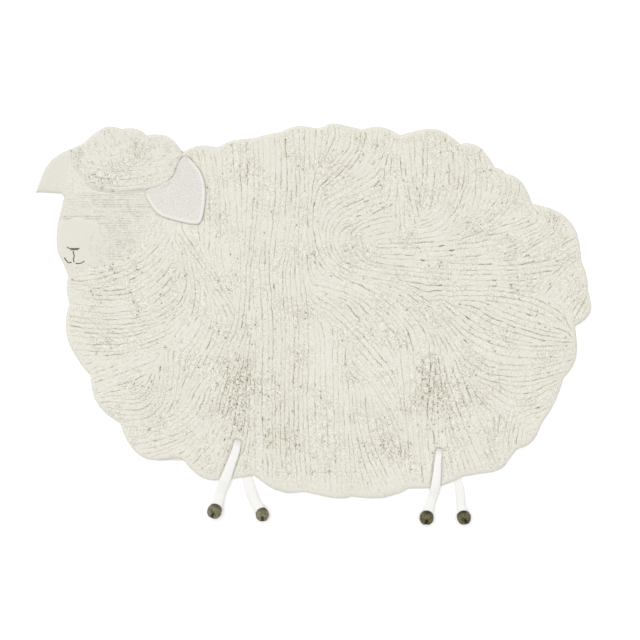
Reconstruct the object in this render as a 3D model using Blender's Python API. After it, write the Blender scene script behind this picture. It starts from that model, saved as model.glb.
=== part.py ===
"""Sheep-shaped tufted wool rug for a child's room, lying flat on the floor and facing -X.

One tufted sheet makes the fleece, the top-knot, the low-pile face and the far ear. The near
ear is a padded flap sewn on it, and four stuffed cotton legs end in felted wool hooves: the
near legs are sewn on the fleece, the far ones are tucked under its edge.

Tables hold plan positions and heights in millimetres: +X towards the tail, +Y towards the
back, +Z up from the floor. Meshes are made in metres.
"""

import math
from collections import namedtuple

import bmesh
import bpy
import numpy as np
from mathutils import Vector
from mathutils.geometry import delaunay_2d_cdt

MM = 0.001
GAP = 0.3                     # left between pieces that touch

# ---------------------------------------------------------------- heights and pile
FLEECE_CREST, FLEECE_FURROW = 19.0, 13.0
TOPKNOT_CREST, TOPKNOT_FURROW = 22.0, 15.0
FACE_PILE = 12.0
MUZZLE_PILE = 14.0
FAR_EAR_PILE = 10.0
RIM_TOP = 7.0                 # where the side wall ends and the rounded rim begins
RIM_INSET, RIM_SHOULDER = 7.0, 14.0
RIM_CROWDING = 6.3            # shoulder points nearer the outline than this are left out, as in notches
HEAD_RIM_TOP = 5.0
ROW_PITCH = 31.0              # furrow to furrow: every second row of the real pile
ROW_STEP = 8.0                # length of one tracing step
ROW_POINT_STEPS = 5           # tracing steps from one mesh point to the next
ROW_CLEARANCE = 0.66          # a row ends when it comes this near another, in pitches
SEED_CLEARANCE = 0.92
EDGE_CLEARANCE = 0.42
SHORTEST_ROW = 1.5
ROW_SEEDS = ((-30, -150), (600, -20), (-600, 0), (-600, 550), (430, 500))
SHARPEST_TURN = 0.5           # cosine of the turn at which a row breaks off
CREST_SPAN = (0.45, 2.2)      # width of a row that gets crest points, in pitches
CREST_SPACING = 0.45
CREST_LIFT = (0.3, 0.9)       # share of the full crest: a constant, plus this for a pitch of width
SAME_STRETCH = 2              # points of one furrow this near have no row between them
LOW_PILE_SPACING = 26.0       # mesh points on the face and the far ear
OUTLINE_STEP = 15.0
SEAM_CLEARANCE = 9.0          # seam lines and troughs stop this far inside the outline
SEAM_SPACING = 5.0            # and keep this far from other points
MERGE = 1e-4                  # plan points nearer than this are one

# Scalloped outline, clockwise from the nape: each row is the start of a scallop, how far it
# swells beyond its chord, where its crown sits (0.5 is the middle) and how full it is
# (below 1 is rounder than a sine).
Scallop = namedtuple("Scallop", "x y rise lean fullness")
OUTLINE = (
    (-400, 525, 15, 0.50, 1.0),
    (-290, 540, 10, 0.40, 1.0),
    (-180, 570, 1, 0.50, 1.0),
    (-95, 590, 12, 0.45, 1.0),
    (10, 600, 0, 0.50, 1.0),
    (35, 605, 12, 0.30, 1.0),
    (150, 595, 16, 0.50, 1.0),
    (265, 580, 34, 0.55, 1.0),
    (450, 550, 26, 0.40, 1.0),
    (555, 480, 5, 0.50, 1.0),
    (590, 460, 19, 0.40, 1.0),
    (670, 370, 52, 0.50, 1.0),
    (820, 195, 6, 0.50, 1.0),
    (840, 100, 29, 0.50, 1.0),
    (800, -5, 24, 0.55, 1.0),
    (765, -165, 7, 0.50, 1.0),
    (700, -300, 17, 0.55, 1.0),
    (625, -380, 10, 0.65, 1.0),
    (550, -450, 0, 0.50, 1.0),
    (455, -465, 2, 0.50, 1.0),
    (385, -495, 0, 0.50, 1.0),
    (345, -500, 0, 0.50, 1.0),
    (290, -502, 17, 0.45, 1.0),
    (115, -525, 10, 0.30, 1.0),
    (-25, -512, 14, 0.50, 1.0),
    (-150, -485, 0, 0.50, 1.0),
    (-183, -460, 0, 0.50, 1.0),
    (-220, -467, 2, 0.50, 1.0),
    (-295, -475, 17, 0.40, 1.0),
    (-400, -410, 0, 0.50, 1.0),
    (-425, -405, 52, 0.45, 1.0),
    (-590, -300, 28, 0.50, 1.0),
    (-680, -155, 35, 0.55, 0.8),
    (-745, 60, 6, 0.60, 1.0),
    (-748, 150, 0, 0.50, 1.0),
    (-775, 210, 14, 0.40, 1.0),
    (-760, 390, 0, 0.50, 1.0),
    (-770, 402, 0, 0.50, 1.0),
    (-848, 404, 26, 0.55, 0.9),
    (-735, 538, 0, 0.50, 1.0),
    (-700, 555, 2, 0.50, 1.0),
    (-640, 603, 4, 0.40, 1.0),
    (-585, 597, 12, 0.55, 1.0),
    (-510, 578, 25, 0.50, 1.0),
)

# How the rows of pile run: each stroke of the comb from a start, over a middle, to an end.
Stroke = namedtuple("Stroke", "start middle end")
COMBING = (
    ((-330, 530), (-310, 410), (-310, 260)),      # shoulder, nape to chest
    ((-270, 550), (-260, 380), (-240, 200)),
    ((-170, 560), (-170, 380), (-190, 190)),
    ((-70, 590), (-60, 400), (-90, 190)),
    ((-20, 590), (-20, 400), (0, 190)),
    ((-390, 250), (-310, 140), (-240, 40)),
    ((-220, 70), (-260, -60), (-340, -190)),
    ((-390, 210), (-370, 70), (-410, -30)),
    ((-640, 150), (-520, 200), (-450, 280)),      # chest
    ((-730, 70), (-540, 70), (-420, 170)),
    ((-730, 10), (-510, 10), (-390, 90)),
    ((-710, -70), (-560, -70), (-440, -30)),
    ((-680, -160), (-610, -130), (-530, -100)),
    ((-580, -290), (-470, -260), (-440, -120)),
    ((-560, -350), (-400, -310), (-330, -220)),
    ((-390, -430), (-310, -350), (-260, -230)),
    ((-280, -470), (-230, -380), (-210, -250)),
    ((-140, 150), (-130, 10), (-130, -120)),      # belly
    ((-40, 170), (-30, 10), (-30, -140)),
    ((-160, -120), (-160, -280), (-150, -460)),
    ((-30, -140), (-30, -290), (-20, -480)),
    ((80, -20), (80, -230), (90, -490)),
    ((150, -150), (210, -220), (260, -320)),
    ((160, -230), (180, -350), (240, -480)),
    ((280, -60), (290, -230), (300, -410)),
    ((360, -230), (360, -350), (380, -480)),
    ((410, -110), (460, -260), (520, -400)),
    ((600, -290), (590, -350), (590, -410)),      # haunch
    ((570, -230), (640, -250), (720, -220)),
    ((430, -50), (550, -150), (760, -130)),
    ((400, 40), (570, -60), (790, -70)),
    ((520, 40), (630, -10), (760, -40)),
    ((370, 80), (630, 80), (790, -20)),
    ((300, 170), (540, 160), (720, 170)),
    ((790, 20), (810, 60), (840, 110)),
    ((730, 120), (770, 170), (820, 210)),
    ((250, 230), (430, 240), (680, 270)),         # rump
    ((560, 470), (570, 390), (480, 300)),
    ((710, 360), (710, 300), (630, 230)),
    ((270, 530), (290, 410), (310, 310)),         # whorl on the back
    ((320, 300), (390, 330), (450, 410)),
    ((370, 560), (370, 480), (360, 390)),
    ((420, 550), (430, 460), (420, 370)),
    ((490, 530), (500, 450), (490, 360)),
    ((250, 560), (190, 470), (60, 390)),          # crook of the back
    ((120, 600), (110, 530), (40, 450)),
    ((220, 370), (80, 340), (50, 240)),
    ((50, 230), (110, 170), (270, 140)),
    ((220, 320), (130, 290), (130, 230)),
    ((10, 370), (10, 260), (70, 160)),
    ((30, 120), (170, 70), (270, -30)),           # flank
    ((20, 60), (110, -10), (220, -130)),
    ((260, 110), (340, 50), (430, -50)),
    ((290, 50), (350, -40), (360, -150)),
    ((-650, 590), (-650, 550), (-650, 510)),      # top-knot
    ((-500, 560), (-490, 530), (-510, 500)),
    ((-710, 490), (-590, 480), (-450, 480)),
    ((-670, 440), (-580, 430), (-470, 450)),
)
STROKE_POINTS = 9
COMB_REACH = 12.0             # strokes blend over at least this distance
COMB_FALLOFF = 1.6

# Lower edge of the top-knot, from the far ear to the near ear, and the edge of the jaw.
TOPKNOT_EDGE = ((-738, 524), (-734, 486), (-708, 453), (-684, 418), (-643, 406), (-584, 400), (-512, 406))
JAW_EDGE = ((-484, 342), (-500, 300), (-524, 246), (-566, 204), (-640, 181), (-748, 152))
FAR_EAR_ROOT = ((-734, 486), (-744, 440), (-756, 396))
MUZZLE_CENTRE, MUZZLE_RADII = (-716, 246), (78, 66)
CREASE_STEP = 16.0

# Near ear: a leaf-shaped flap, tip down, sewn along its upper left edge.
EAR_OUTLINE = (
    (-511, 407), (-462, 427), (-425, 455), (-410, 496), (-388, 514), (-358, 488), (-336, 452), (-327, 404),
    (-331, 352), (-342, 312), (-368, 306), (-424, 318), (-468, 334), (-496, 366),
)
EAR_STEP = 11.0
EAR_SEAT = 14.0               # height of the pile pressed flat under it
EAR_SEAT_MARGIN = 3.0
EAR_THICKNESS = 9.0
EAR_RIM_WIDTH = 11.0
EAR_EDGE_ROUND = 3.0
EAR_HOLLOW = 2.0              # its middle lies this much below its rim

# Legs: sections along the centre line, from the sewn end to the hoof.
LegSection = namedtuple("LegSection", "x y width underside thickness")
LEG_TROUGH = 11.0             # height of the pile pressed down under the near legs
LEGS = {
    "near_front": (
        (-228, -352, 20, 11.3, 5.0),
        (-237, -390, 26, 11.3, 9.0),
        (-252, -431, 29, 11.3, 11.0),
        (-266, -470, 33, 11.3, 12.0),
        (-273, -488, 34, 8.0, 12.0),
        (-282, -514, 33, 0.0, 13.0),
        (-288, -540, 31, 1.5, 16.0),
        (-297, -562, 28, 8.0, 20.0),
    ),
    "far_front": (
        (-212, -430, 28, 0.0, 4.5),
        (-203, -463, 30, 0.0, 4.8),
        (-198, -480, 32, 0.0, 9.0),
        (-190, -506, 34, 0.0, 13.0),
        (-176, -543, 34, 1.5, 16.0),
        (-158, -571, 30, 8.0, 20.0),
    ),
    "near_rear": (
        (386, -378, 17, 11.3, 5.0),
        (381, -418, 22, 11.3, 9.0),
        (378, -459, 26, 11.3, 11.0),
        (374, -491, 29, 11.3, 12.0),
        (371, -508, 29, 8.0, 12.0),
        (364, -532, 30, 0.0, 13.0),
        (355, -560, 31, 1.5, 16.0),
        (348, -582, 28, 8.0, 20.0),
    ),
    "far_rear": (
        (436, -446, 24, 0.0, 4.5),
        (443, -477, 25, 0.0, 4.8),
        (447, -495, 26, 0.0, 9.0),
        (452, -520, 28, 0.0, 13.0),
        (457, -556, 28, 1.5, 16.0),
        (461, -585, 26, 8.0, 20.0),
    ),
}
LEG_SIDES = 12
LEG_SQUARENESS = 2.6          # exponent of the section's superellipse
LEG_SECTION_STEP = 14.0
TUCK_CEILING = 5.4            # height of the pockets that hold the ends of the far legs
TUCK_FLOOR = -5.0             # their cutters start below the floor
TUCK_REACH = 40.0             # and run this far out past the rug's edge
TUCK_SECTIONS = 3             # leg sections whose width the pocket clears
TROUGH_MARGIN, TROUGH_END = 2.0, 4.0
TROUGH_WALL = 7.0             # the pile rises over this width beside a trough

# Hooves: felted balls, a little longer than wide, with a cleft on the side away from the leg.
Hoof = namedtuple("Hoof", "x y width length cleft_deg")
HOOVES = {
    "near_front": Hoof(-300, -569, 44, 47, 245),
    "far_front": Hoof(-154, -579, 40, 43, 275),
    "near_rear": Hoof(346, -589, 43, 45, 262),
    "far_rear": Hoof(462, -592, 42, 45, 292),
}
HOOF_SEGMENTS, HOOF_RINGS = 18, 10
HOOF_FLAT = 0.8               # how much of the ball the floor takes off
CLEFT_DEPTH = 0.10
CLEFT_HALF_ANGLE = 16.0

COLOURS = {
    "fleece": (0.76, 0.745, 0.65),
    "ear_cloth": (0.80, 0.785, 0.72),
    "leg_cotton": (0.87, 0.865, 0.82),
    "hoof_felt": (0.17, 0.16, 0.10),
}
CLOTH_ROUGHNESS = 0.95
RUG_FACET_DEG, SMOOTH_PIECE_DEG = 12, 40        # edges sharper than this stay sharp


# ---------------------------------------------------------------- plan geometry

def smooth_line(corners, step, closed=False):
    """Points about a step apart on a Catmull-Rom curve through the corners."""
    corners = [np.array(c, float) for c in corners]
    count = len(corners)
    line = []
    for i in range(count if closed else count - 1):
        if closed:
            before, start, end, after = (corners[(i + k) % count] for k in (-1, 0, 1, 2))
        else:
            start, end = corners[i], corners[i + 1]
            before = corners[i - 1] if i else 2 * start - end
            after = corners[i + 2] if i + 2 < count else 2 * end - start
        pieces = max(1, round(float(np.linalg.norm((end - start)[:2])) / step))
        for k in range(pieces):
            t = k / pieces
            line.append(0.5 * (2 * start + (end - before) * t
                               + (2 * before - 5 * start + 4 * end - after) * t ** 2
                               + (3 * start - before - 3 * end + after) * t ** 3))
    if not closed:
        line.append(corners[-1])
    return line


def outline_points():
    """The scalloped outline, clockwise, as closed plan points."""
    points = []
    scallops = [Scallop(*row) for row in OUTLINE]
    for scallop, following in zip(scallops, scallops[1:] + scallops[:1]):
        start = np.array((scallop.x, scallop.y), float)
        end = np.array((following.x, following.y), float)
        chord = end - start
        length = float(np.linalg.norm(chord))
        outward = np.array((-chord[1], chord[0])) / length
        bias = math.log(0.5) / math.log(scallop.lean)
        pieces = max(1, round(length / OUTLINE_STEP))
        for k in range(pieces):
            t = k / pieces
            swell = scallop.rise * math.sin(math.pi * t ** bias) ** scallop.fullness
            points.append(start + chord * t + outward * swell)
    return points


def inward_normals(loop):
    """Unit normals to the inside of a clockwise loop."""
    ahead = np.roll(loop, -1, axis=0) - np.roll(loop, 1, axis=0)
    normals = np.stack([ahead[:, 1], -ahead[:, 0]], axis=1)
    return normals / np.linalg.norm(normals, axis=1)[:, None]


def is_inside(point, loop):
    """Whether a plan point lies inside a closed loop."""
    x, y = point[0], point[1]
    x0, y0 = loop[:, 0], loop[:, 1]
    x1, y1 = np.roll(x0, -1), np.roll(y0, -1)
    spans = (y0 > y) != (y1 > y)
    crossing = x0 + (y - y0) * (x1 - x0) / np.where(spans, y1 - y0, 1.0)
    return bool(np.count_nonzero(spans & (x < crossing)) % 2)


def distance_to_line(point, line, closed=False):
    """Shortest plan distance from a point to a polyline."""
    start = line if closed else line[:-1]
    end = np.roll(line, -1, axis=0) if closed else line[1:]
    along = end - start
    t = ((point - start) * along).sum(1) / np.maximum((along ** 2).sum(1), 1e-9)
    nearest = start + along * np.clip(t, 0.0, 1.0)[:, None]
    return float(np.linalg.norm(nearest - point, axis=1).min())


class NearPoints:
    """Plan points filed in square cells, to ask how near the nearest one is."""

    def __init__(self, reach):
        self.reach = reach
        self.cells = {}

    def cell(self, point):
        return math.floor(point[0] / self.reach), math.floor(point[1] / self.reach)

    def add(self, point):
        self.cells.setdefault(self.cell(point), []).append((point[0], point[1]))

    def distance(self, point):
        """Distance to the nearest point, or the reach if none is that near."""
        column, row = self.cell(point)
        best = self.reach
        for i in (column - 1, column, column + 1):
            for j in (row - 1, row, row + 1):
                for x, y in self.cells.get((i, j), ()):
                    best = min(best, math.hypot(x - point[0], y - point[1]))
        return best


# ---------------------------------------------------------------- regions of the sheet

outline = np.array(outline_points())
topknot_edge = np.array(smooth_line(TOPKNOT_EDGE, CREASE_STEP))
jaw_edge = np.array(smooth_line(JAW_EDGE, CREASE_STEP))
far_ear_root = np.array(smooth_line(FAR_EAR_ROOT, CREASE_STEP))
ear_outline = np.array(smooth_line(EAR_OUTLINE, EAR_STEP, closed=True))
ear_seat = ear_outline - EAR_SEAT_MARGIN * inward_normals(ear_outline)

WEST, NORTH, NAPE = -900, 700, (-400, 470)      # corners of the regions, beyond the outline
brow, muzzle_end, ear_notch = topknot_edge[0], jaw_edge[-1], far_ear_root[-1]
far_ear_region = np.array([*far_ear_root, (WEST, ear_notch[1]), (WEST, NORTH), (brow[0], NORTH), brow])
topknot_region = np.array([*topknot_edge[::-1], (brow[0], NORTH), (NAPE[0], NORTH), NAPE])
below_ear = topknot_edge[np.linalg.norm(topknot_edge - far_ear_root[0], axis=1).argmin():]
face_region = np.array([*below_ear, *jaw_edge, (WEST, muzzle_end[1]), (WEST, ear_notch[1]),
                        *far_ear_root[::-1]])


def sideways(line):
    """Unit vectors across a line, to its left, at each of its points."""
    along = np.gradient(line, axis=0)
    across = np.stack([-along[:, 1], along[:, 0]], axis=1)
    return across / np.linalg.norm(across, axis=1)[:, None]


def trough_lines(sections):
    """The left side, the middle and the right side of the trough under a near leg."""
    run = np.array(smooth_line([section[:3] for section in sections], LEG_SECTION_STEP))
    middle, half_width = run[:, :2], run[:, 2:3] / 2 + TROUGH_MARGIN
    middle[0] -= TROUGH_END * (middle[1] - middle[0]) / np.linalg.norm(middle[1] - middle[0])
    offset = sideways(middle) * half_width
    return middle + offset, middle, middle - offset


troughs = [trough_lines(LEGS[place]) for place in ("near_front", "near_rear")]


def in_trough(point, margin=0.0):
    """Whether a plan point is under a near leg, or as near its trough as a margin."""
    for left, _, right in troughs:
        edge = np.concatenate([left, right[::-1]])
        if is_inside(point, edge) or distance_to_line(point, edge, True) < margin:
            return True
    return False


def pile_heights(point):
    """Crest and furrow heights of the pile at a plan point."""
    if is_inside(point, far_ear_region):
        return FAR_EAR_PILE, FAR_EAR_PILE
    if is_inside(point, face_region):
        from_muzzle = (np.array(point) - MUZZLE_CENTRE) / MUZZLE_RADII
        pile = MUZZLE_PILE if math.hypot(*from_muzzle) < 1.0 else FACE_PILE
        return pile, pile
    if is_inside(point, topknot_region):
        return TOPKNOT_CREST, TOPKNOT_FURROW
    return FLEECE_CREST, FLEECE_FURROW


def is_low_pile(point):
    """Whether the pile at a plan point is cropped too short for rows."""
    crest, furrow = pile_heights(point)
    return crest == furrow


# ---------------------------------------------------------------- rows of pile

def combing_samples():
    """Points on each comb stroke, with the doubled angle of the pile there."""
    t = np.linspace(0.0, 1.0, STROKE_POINTS)[:, None]
    points, doubled = [], []
    for stroke in (Stroke(*np.array(row, float)) for row in COMBING):
        handle = 2 * stroke.middle - (stroke.start + stroke.end) / 2
        points.append((1 - t) ** 2 * stroke.start + 2 * t * (1 - t) * handle + t ** 2 * stroke.end)
        slope = (1 - t) * (handle - stroke.start) + t * (stroke.end - handle)
        angle = 2 * np.arctan2(slope[:, 1], slope[:, 0])
        doubled.append(np.stack([np.cos(angle), np.sin(angle)], axis=1))
    return np.array(points), np.array(doubled)


comb_points, comb_doubled = combing_samples()


def pile_direction(point, heading=None):
    """Unit vector along the rows at a point, turned to agree with a heading."""
    squared = ((comb_points - point) ** 2).sum(-1)
    nearest = squared.argmin(1)
    strokes = np.arange(len(nearest))
    weights = (squared[strokes, nearest] + COMB_REACH ** 2) ** -COMB_FALLOFF
    cosine, sine = (comb_doubled[strokes, nearest] * weights[:, None]).sum(0)
    angle = math.atan2(sine, cosine) / 2
    direction = np.array((math.cos(angle), math.sin(angle)))
    if heading is not None and direction @ heading < 0:
        direction = -direction
    return direction


def trace_row(seed, taken, may_enter):
    """One furrow through a seed, both ways along the pile until it nears another."""
    halves = []
    for sign in (1.0, -1.0):
        half, point = [], seed
        heading = sign * pile_direction(seed)
        while True:
            middle = point + pile_direction(point, heading) * ROW_STEP / 2
            turned = pile_direction(middle, heading)
            ahead = point + turned * ROW_STEP
            if turned @ heading < SHARPEST_TURN or not may_enter(ahead):
                break
            if taken.distance(ahead) < ROW_CLEARANCE * ROW_PITCH:
                break
            older = np.array(half[:-ROW_POINT_STEPS] or [seed + ROW_PITCH])
            if np.linalg.norm(older - ahead, axis=1).min() < ROW_CLEARANCE * ROW_PITCH:
                break
            half.append(ahead)
            point, heading = ahead, turned
        halves.append(half)
    return halves[1][::-1] + [seed] + halves[0]


def pile_rows(seeds, may_enter):
    """Furrows a pitch apart that cover the fleece, each new one seeded beside an old one."""
    taken = NearPoints(ROW_PITCH)
    waiting = [np.array(seed, float) for seed in seeds]
    rows = []
    while waiting:
        seed = waiting.pop(0)
        if not may_enter(seed) or taken.distance(seed) < SEED_CLEARANCE * ROW_PITCH:
            continue
        row = np.array(trace_row(seed, taken, may_enter))
        if len(row) * ROW_STEP < SHORTEST_ROW * ROW_PITCH:
            continue
        rows.append(row)
        for point in row:
            taken.add(point)
        across = sideways(row)
        for k in range(0, len(row), ROW_POINT_STEPS // 2):
            waiting += [row[k] + across[k] * ROW_PITCH, row[k] - across[k] * ROW_PITCH]
    return rows


# ---------------------------------------------------------------- tufted sheet

class PlanMesh:
    """Plan points with heights, and the lines that their triangles must follow."""

    def __init__(self):
        self.points, self.heights, self.lines = [], [], []
        self.places = []          # for each point, its line's number and its own along it
        self.line_count = 0
        self.near = NearPoints(ROW_PITCH)

    def add(self, point, height, place=(-1, 0)):
        self.points.append(Vector((float(point[0]), float(point[1]))))
        self.heights.append(height)
        self.places.append(place)
        self.near.add(point)

    def add_line(self, line, heights, closed=False):
        first = len(self.points)
        self.line_count += 1
        for k, (point, height) in enumerate(zip(line, heights)):
            self.add(point, height, (self.line_count, k))
        self.lines += [(first + k, first + k + 1) for k in range(len(line) - 1)]
        if closed:
            self.lines.append((len(self.points) - 1, first))


def add_rim(plan):
    """The outline at the top of the side wall, and a ring of shoulder points inside it."""
    tops = [HEAD_RIM_TOP if is_low_pile(point) else RIM_TOP for point in outline]
    plan.add_line(outline, tops, closed=True)
    edge = NearPoints(2 * RIM_INSET)
    for point in outline:
        edge.add(point)
    for point in outline + RIM_INSET * inward_normals(outline):
        if edge.distance(point) < RIM_CROWDING or not is_inside(point, outline):
            continue
        shoulder = min(RIM_SHOULDER, pile_heights(point)[0])
        plan.add(point, LEG_TROUGH if in_trough(point, SEAM_CLEARANCE) else shoulder)


def inner_part(line):
    """The stretch of a line that lies well inside the outline."""
    return [p for p in line if is_inside(p, outline) and distance_to_line(p, outline, True) > SEAM_CLEARANCE]


def add_seams(plan):
    """The seam lines of the head, the ear's seat and the troughs of the near legs."""
    for edge, height in ((topknot_edge, FACE_PILE), (jaw_edge, FACE_PILE), (far_ear_root[1:], FAR_EAR_PILE)):
        kept = [p for p in inner_part(edge) if plan.near.distance(p) > SEAM_SPACING
                and not is_inside(p, ear_seat) and distance_to_line(p, ear_seat, True) > SEAM_SPACING]
        plan.add_line(kept, [height] * len(kept))
    plan.add_line(ear_seat, [EAR_SEAT] * len(ear_seat), closed=True)
    for line in (line for trough in troughs for line in trough):
        kept = inner_part(line)
        plan.add_line(kept, [LEG_TROUGH] * len(kept))


def has_long_pile(point):
    """Whether a plan point is on fleece that nothing presses flat."""
    if not is_inside(point, outline) or is_low_pile(point):
        return False
    return not (is_inside(point, ear_seat) or in_trough(point, TROUGH_WALL))


def may_have_rows(fixed):
    """A test for where rows may run: on long pile, a little clear of the rim, seats and seams."""
    def may_enter(point):
        return fixed.distance(point) > EDGE_CLEARANCE * ROW_PITCH and has_long_pile(point)

    return may_enter


def add_rows(plan):
    """The furrows between the rows of pile."""
    fixed = NearPoints(ROW_PITCH)
    for point in plan.points:
        fixed.add(point)
    for row in pile_rows(ROW_SEEDS, may_have_rows(fixed)):
        kept = list(row[:-1:ROW_POINT_STEPS]) + [row[-1]]
        plan.add_line(kept, [pile_heights(point)[1] for point in kept])


def add_crests(plan):
    """Crest points halfway along the triangle edges that bridge two furrows."""
    _, edges, _, sources, _, _ = delaunay_2d_cdt(plan.points, plan.lines, [], 0, MERGE)
    crests = NearPoints(ROW_PITCH)
    for a, b in edges:
        if not (sources[a] and sources[b]):
            continue
        a, b = sources[a][0], sources[b][0]
        line_a, line_b = plan.places[a], plan.places[b]
        if line_a[0] == line_b[0] and abs(line_a[1] - line_b[1]) <= SAME_STRETCH:
            continue
        start, end = np.array(plan.points[a]), np.array(plan.points[b])
        width = float(np.linalg.norm(end - start))
        middle = (start + end) / 2
        if not CREST_SPAN[0] < width / ROW_PITCH < CREST_SPAN[1]:
            continue
        if crests.distance(middle) < CREST_SPACING * ROW_PITCH or not has_long_pile(middle):
            continue
        crests.add(middle)
        crest, furrow = pile_heights(middle)
        share = CREST_LIFT[0] + CREST_LIFT[1] * width / ROW_PITCH
        plan.add(middle, furrow + (crest - furrow) * min(1.0, share))


def add_low_pile(plan):
    """An open triangular grid of points on the face and the far ear."""
    low, high = outline.min(0), outline.max(0)
    lane_width = LOW_PILE_SPACING * math.sqrt(3) / 2
    for lane in range(math.ceil((high[1] - low[1]) / lane_width)):
        start = low[0] + (lane % 2) * LOW_PILE_SPACING / 2
        for k in range(math.ceil((high[0] - start) / LOW_PILE_SPACING)):
            point = np.array((start + k * LOW_PILE_SPACING, low[1] + lane * lane_width))
            if not (is_inside(point, outline) and is_low_pile(point)) or is_inside(point, ear_seat):
                continue
            if plan.near.distance(point) > LOW_PILE_SPACING / 2:
                plan.add(point, pile_heights(point)[0])


def make_rug(material):
    """The whole tufted sheet: lumpy pile above, a side wall and a flat underside."""
    plan = PlanMesh()
    add_rim(plan)
    add_seams(plan)
    add_rows(plan)
    add_crests(plan)
    add_low_pile(plan)
    rim = list(range(len(outline)))
    points, _, faces, sources, _, _ = delaunay_2d_cdt(plan.points, plan.lines, [rim[::-1]], 1, MERGE)
    bm = bmesh.new()
    for point, source in zip(points, sources):
        height = plan.heights[source[0]] if source else FLEECE_FURROW
        bm.verts.new((point.x * MM, point.y * MM, height * MM))
    bm.verts.ensure_lookup_table()
    for face in faces:
        bm.faces.new([bm.verts[i] for i in face])
    bmesh.ops.recalc_face_normals(bm, faces=bm.faces)
    edge = [e for e in bm.edges if e.is_boundary]
    wall = bmesh.ops.extrude_edge_only(bm, edges=edge)["geom"]
    for vert in (v for v in wall if isinstance(v, bmesh.types.BMVert)):
        vert.co.z = 0.0
    foot = [e for e in wall if isinstance(e, bmesh.types.BMEdge) and e.is_boundary]
    bmesh.ops.triangle_fill(bm, edges=foot, use_beauty=True)
    bmesh.ops.recalc_face_normals(bm, faces=bm.faces)
    return make_object("tufted_rug", bm, material, RUG_FACET_DEG)


# ---------------------------------------------------------------- other pieces

def make_object(name, bm, material, sharp_deg=SMOOTH_PIECE_DEG):
    """A named object from a bmesh, smooth but for its sharp edges."""
    mesh = bpy.data.meshes.new(name)
    bm.to_mesh(mesh)
    bm.free()
    mesh.materials.append(material)
    mesh.shade_smooth()
    mesh.set_sharp_from_angle(angle=math.radians(sharp_deg))
    piece = bpy.data.objects.new(name, mesh)
    bpy.context.scene.collection.objects.link(piece)
    return piece


def make_near_ear(material):
    """A flat padded leaf with a raised round rim, resting on its pressed seat."""
    bm = bmesh.new()
    base = (EAR_SEAT + GAP) * MM
    verts = [bm.verts.new((x * MM, y * MM, base)) for x, y in ear_outline[::-1]]
    bottom = bm.faces.new(verts)
    bottom.normal_update()
    raised = bmesh.ops.extrude_face_region(bm, geom=[bottom])["geom"]
    top = next(g for g in raised if isinstance(g, bmesh.types.BMFace))
    for vert in top.verts:
        vert.co.z += EAR_THICKNESS * MM
    bmesh.ops.recalc_face_normals(bm, faces=bm.faces)
    bmesh.ops.bevel(bm, geom=list(top.edges), offset=EAR_EDGE_ROUND * MM, offset_type="OFFSET", segments=2,
                    profile=0.5, affect="EDGES", material=-1)
    crown = max(bm.faces, key=lambda face: face.calc_center_median().z + face.calc_area())
    bmesh.ops.inset_region(bm, faces=[crown], thickness=(EAR_RIM_WIDTH - EAR_EDGE_ROUND) * MM, depth=0.0)
    for vert in crown.verts:
        vert.co.z -= EAR_HOLLOW * MM
    bmesh.ops.recalc_face_normals(bm, faces=bm.faces)
    return make_object("near_ear", bm, material)


def leg_ring(bm, section, across):
    """One closed superellipse of vertices, standing across the leg and no lower than the floor."""
    ring = []
    underside = max(0.0, section.underside)
    for k in range(LEG_SIDES):
        angle = 2 * math.pi * (k + 0.5) / LEG_SIDES
        cosine, sine = math.cos(angle), math.sin(angle)
        side = math.copysign(abs(cosine) ** (2 / LEG_SQUARENESS), cosine) * section.width / 2
        rise = math.copysign(abs(sine) ** (2 / LEG_SQUARENESS), sine) * section.thickness / 2
        height = underside + section.thickness / 2 + rise
        ring.append(bm.verts.new(((section.x + across[0] * side) * MM, (section.y + across[1] * side) * MM,
                                  height * MM)))
    return ring


def make_leg(name, rows, material):
    """A stuffed cotton tube lofted along its centre line, with flat ends."""
    run = np.array(smooth_line(rows, LEG_SECTION_STEP))
    bm = bmesh.new()
    rings = [leg_ring(bm, LegSection(*row), across) for row, across in zip(run, sideways(run[:, :2]))]
    for ring, following in zip(rings, rings[1:]):
        for k in range(LEG_SIDES):
            turn = (k + 1) % LEG_SIDES
            bm.faces.new((ring[k], ring[turn], following[turn], following[k]))
    bm.faces.new(rings[0])
    bm.faces.new(rings[-1])
    bmesh.ops.recalc_face_normals(bm, faces=bm.faces)
    return make_object(name, bm, material)


def hoof_mesh(hoof, swell=0.0, cleft=CLEFT_DEPTH):
    """A ball standing on the floor, stretched along its leg and grooved on its far side."""
    bm = bmesh.new()
    bmesh.ops.create_uvsphere(bm, u_segments=HOOF_SEGMENTS, v_segments=HOOF_RINGS, radius=1.0)
    turn = math.radians(hoof.cleft_deg)
    for vert in bm.verts:
        azimuth = math.degrees(math.atan2(vert.co.y, vert.co.x))
        level = math.hypot(vert.co.x, vert.co.y)
        inward = 1 - cleft * level * max(0.0, 1.0 - abs(azimuth) / CLEFT_HALF_ANGLE)
        ahead = vert.co.x * inward * (hoof.length / 2 + swell)
        side = vert.co.y * inward * (hoof.width / 2 + swell)
        height = hoof.width / 2 - HOOF_FLAT + vert.co.z * (hoof.width / 2 + swell)
        vert.co = ((hoof.x + ahead * math.cos(turn) - side * math.sin(turn)) * MM,
                   (hoof.y + ahead * math.sin(turn) + side * math.cos(turn)) * MM,
                   max(-swell, height) * MM)
    return bm


def cut_away(piece, cutter):
    """Take the cutter's shape out of a piece, and keep the cutter out of the model."""
    cutter.hide_render = True
    cutter.display_type = "WIRE"
    cut = piece.modifiers.new("cut_" + cutter.name, "BOOLEAN")
    cut.operation = "DIFFERENCE"
    cut.solver = "EXACT"
    cut.object = cutter


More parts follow.
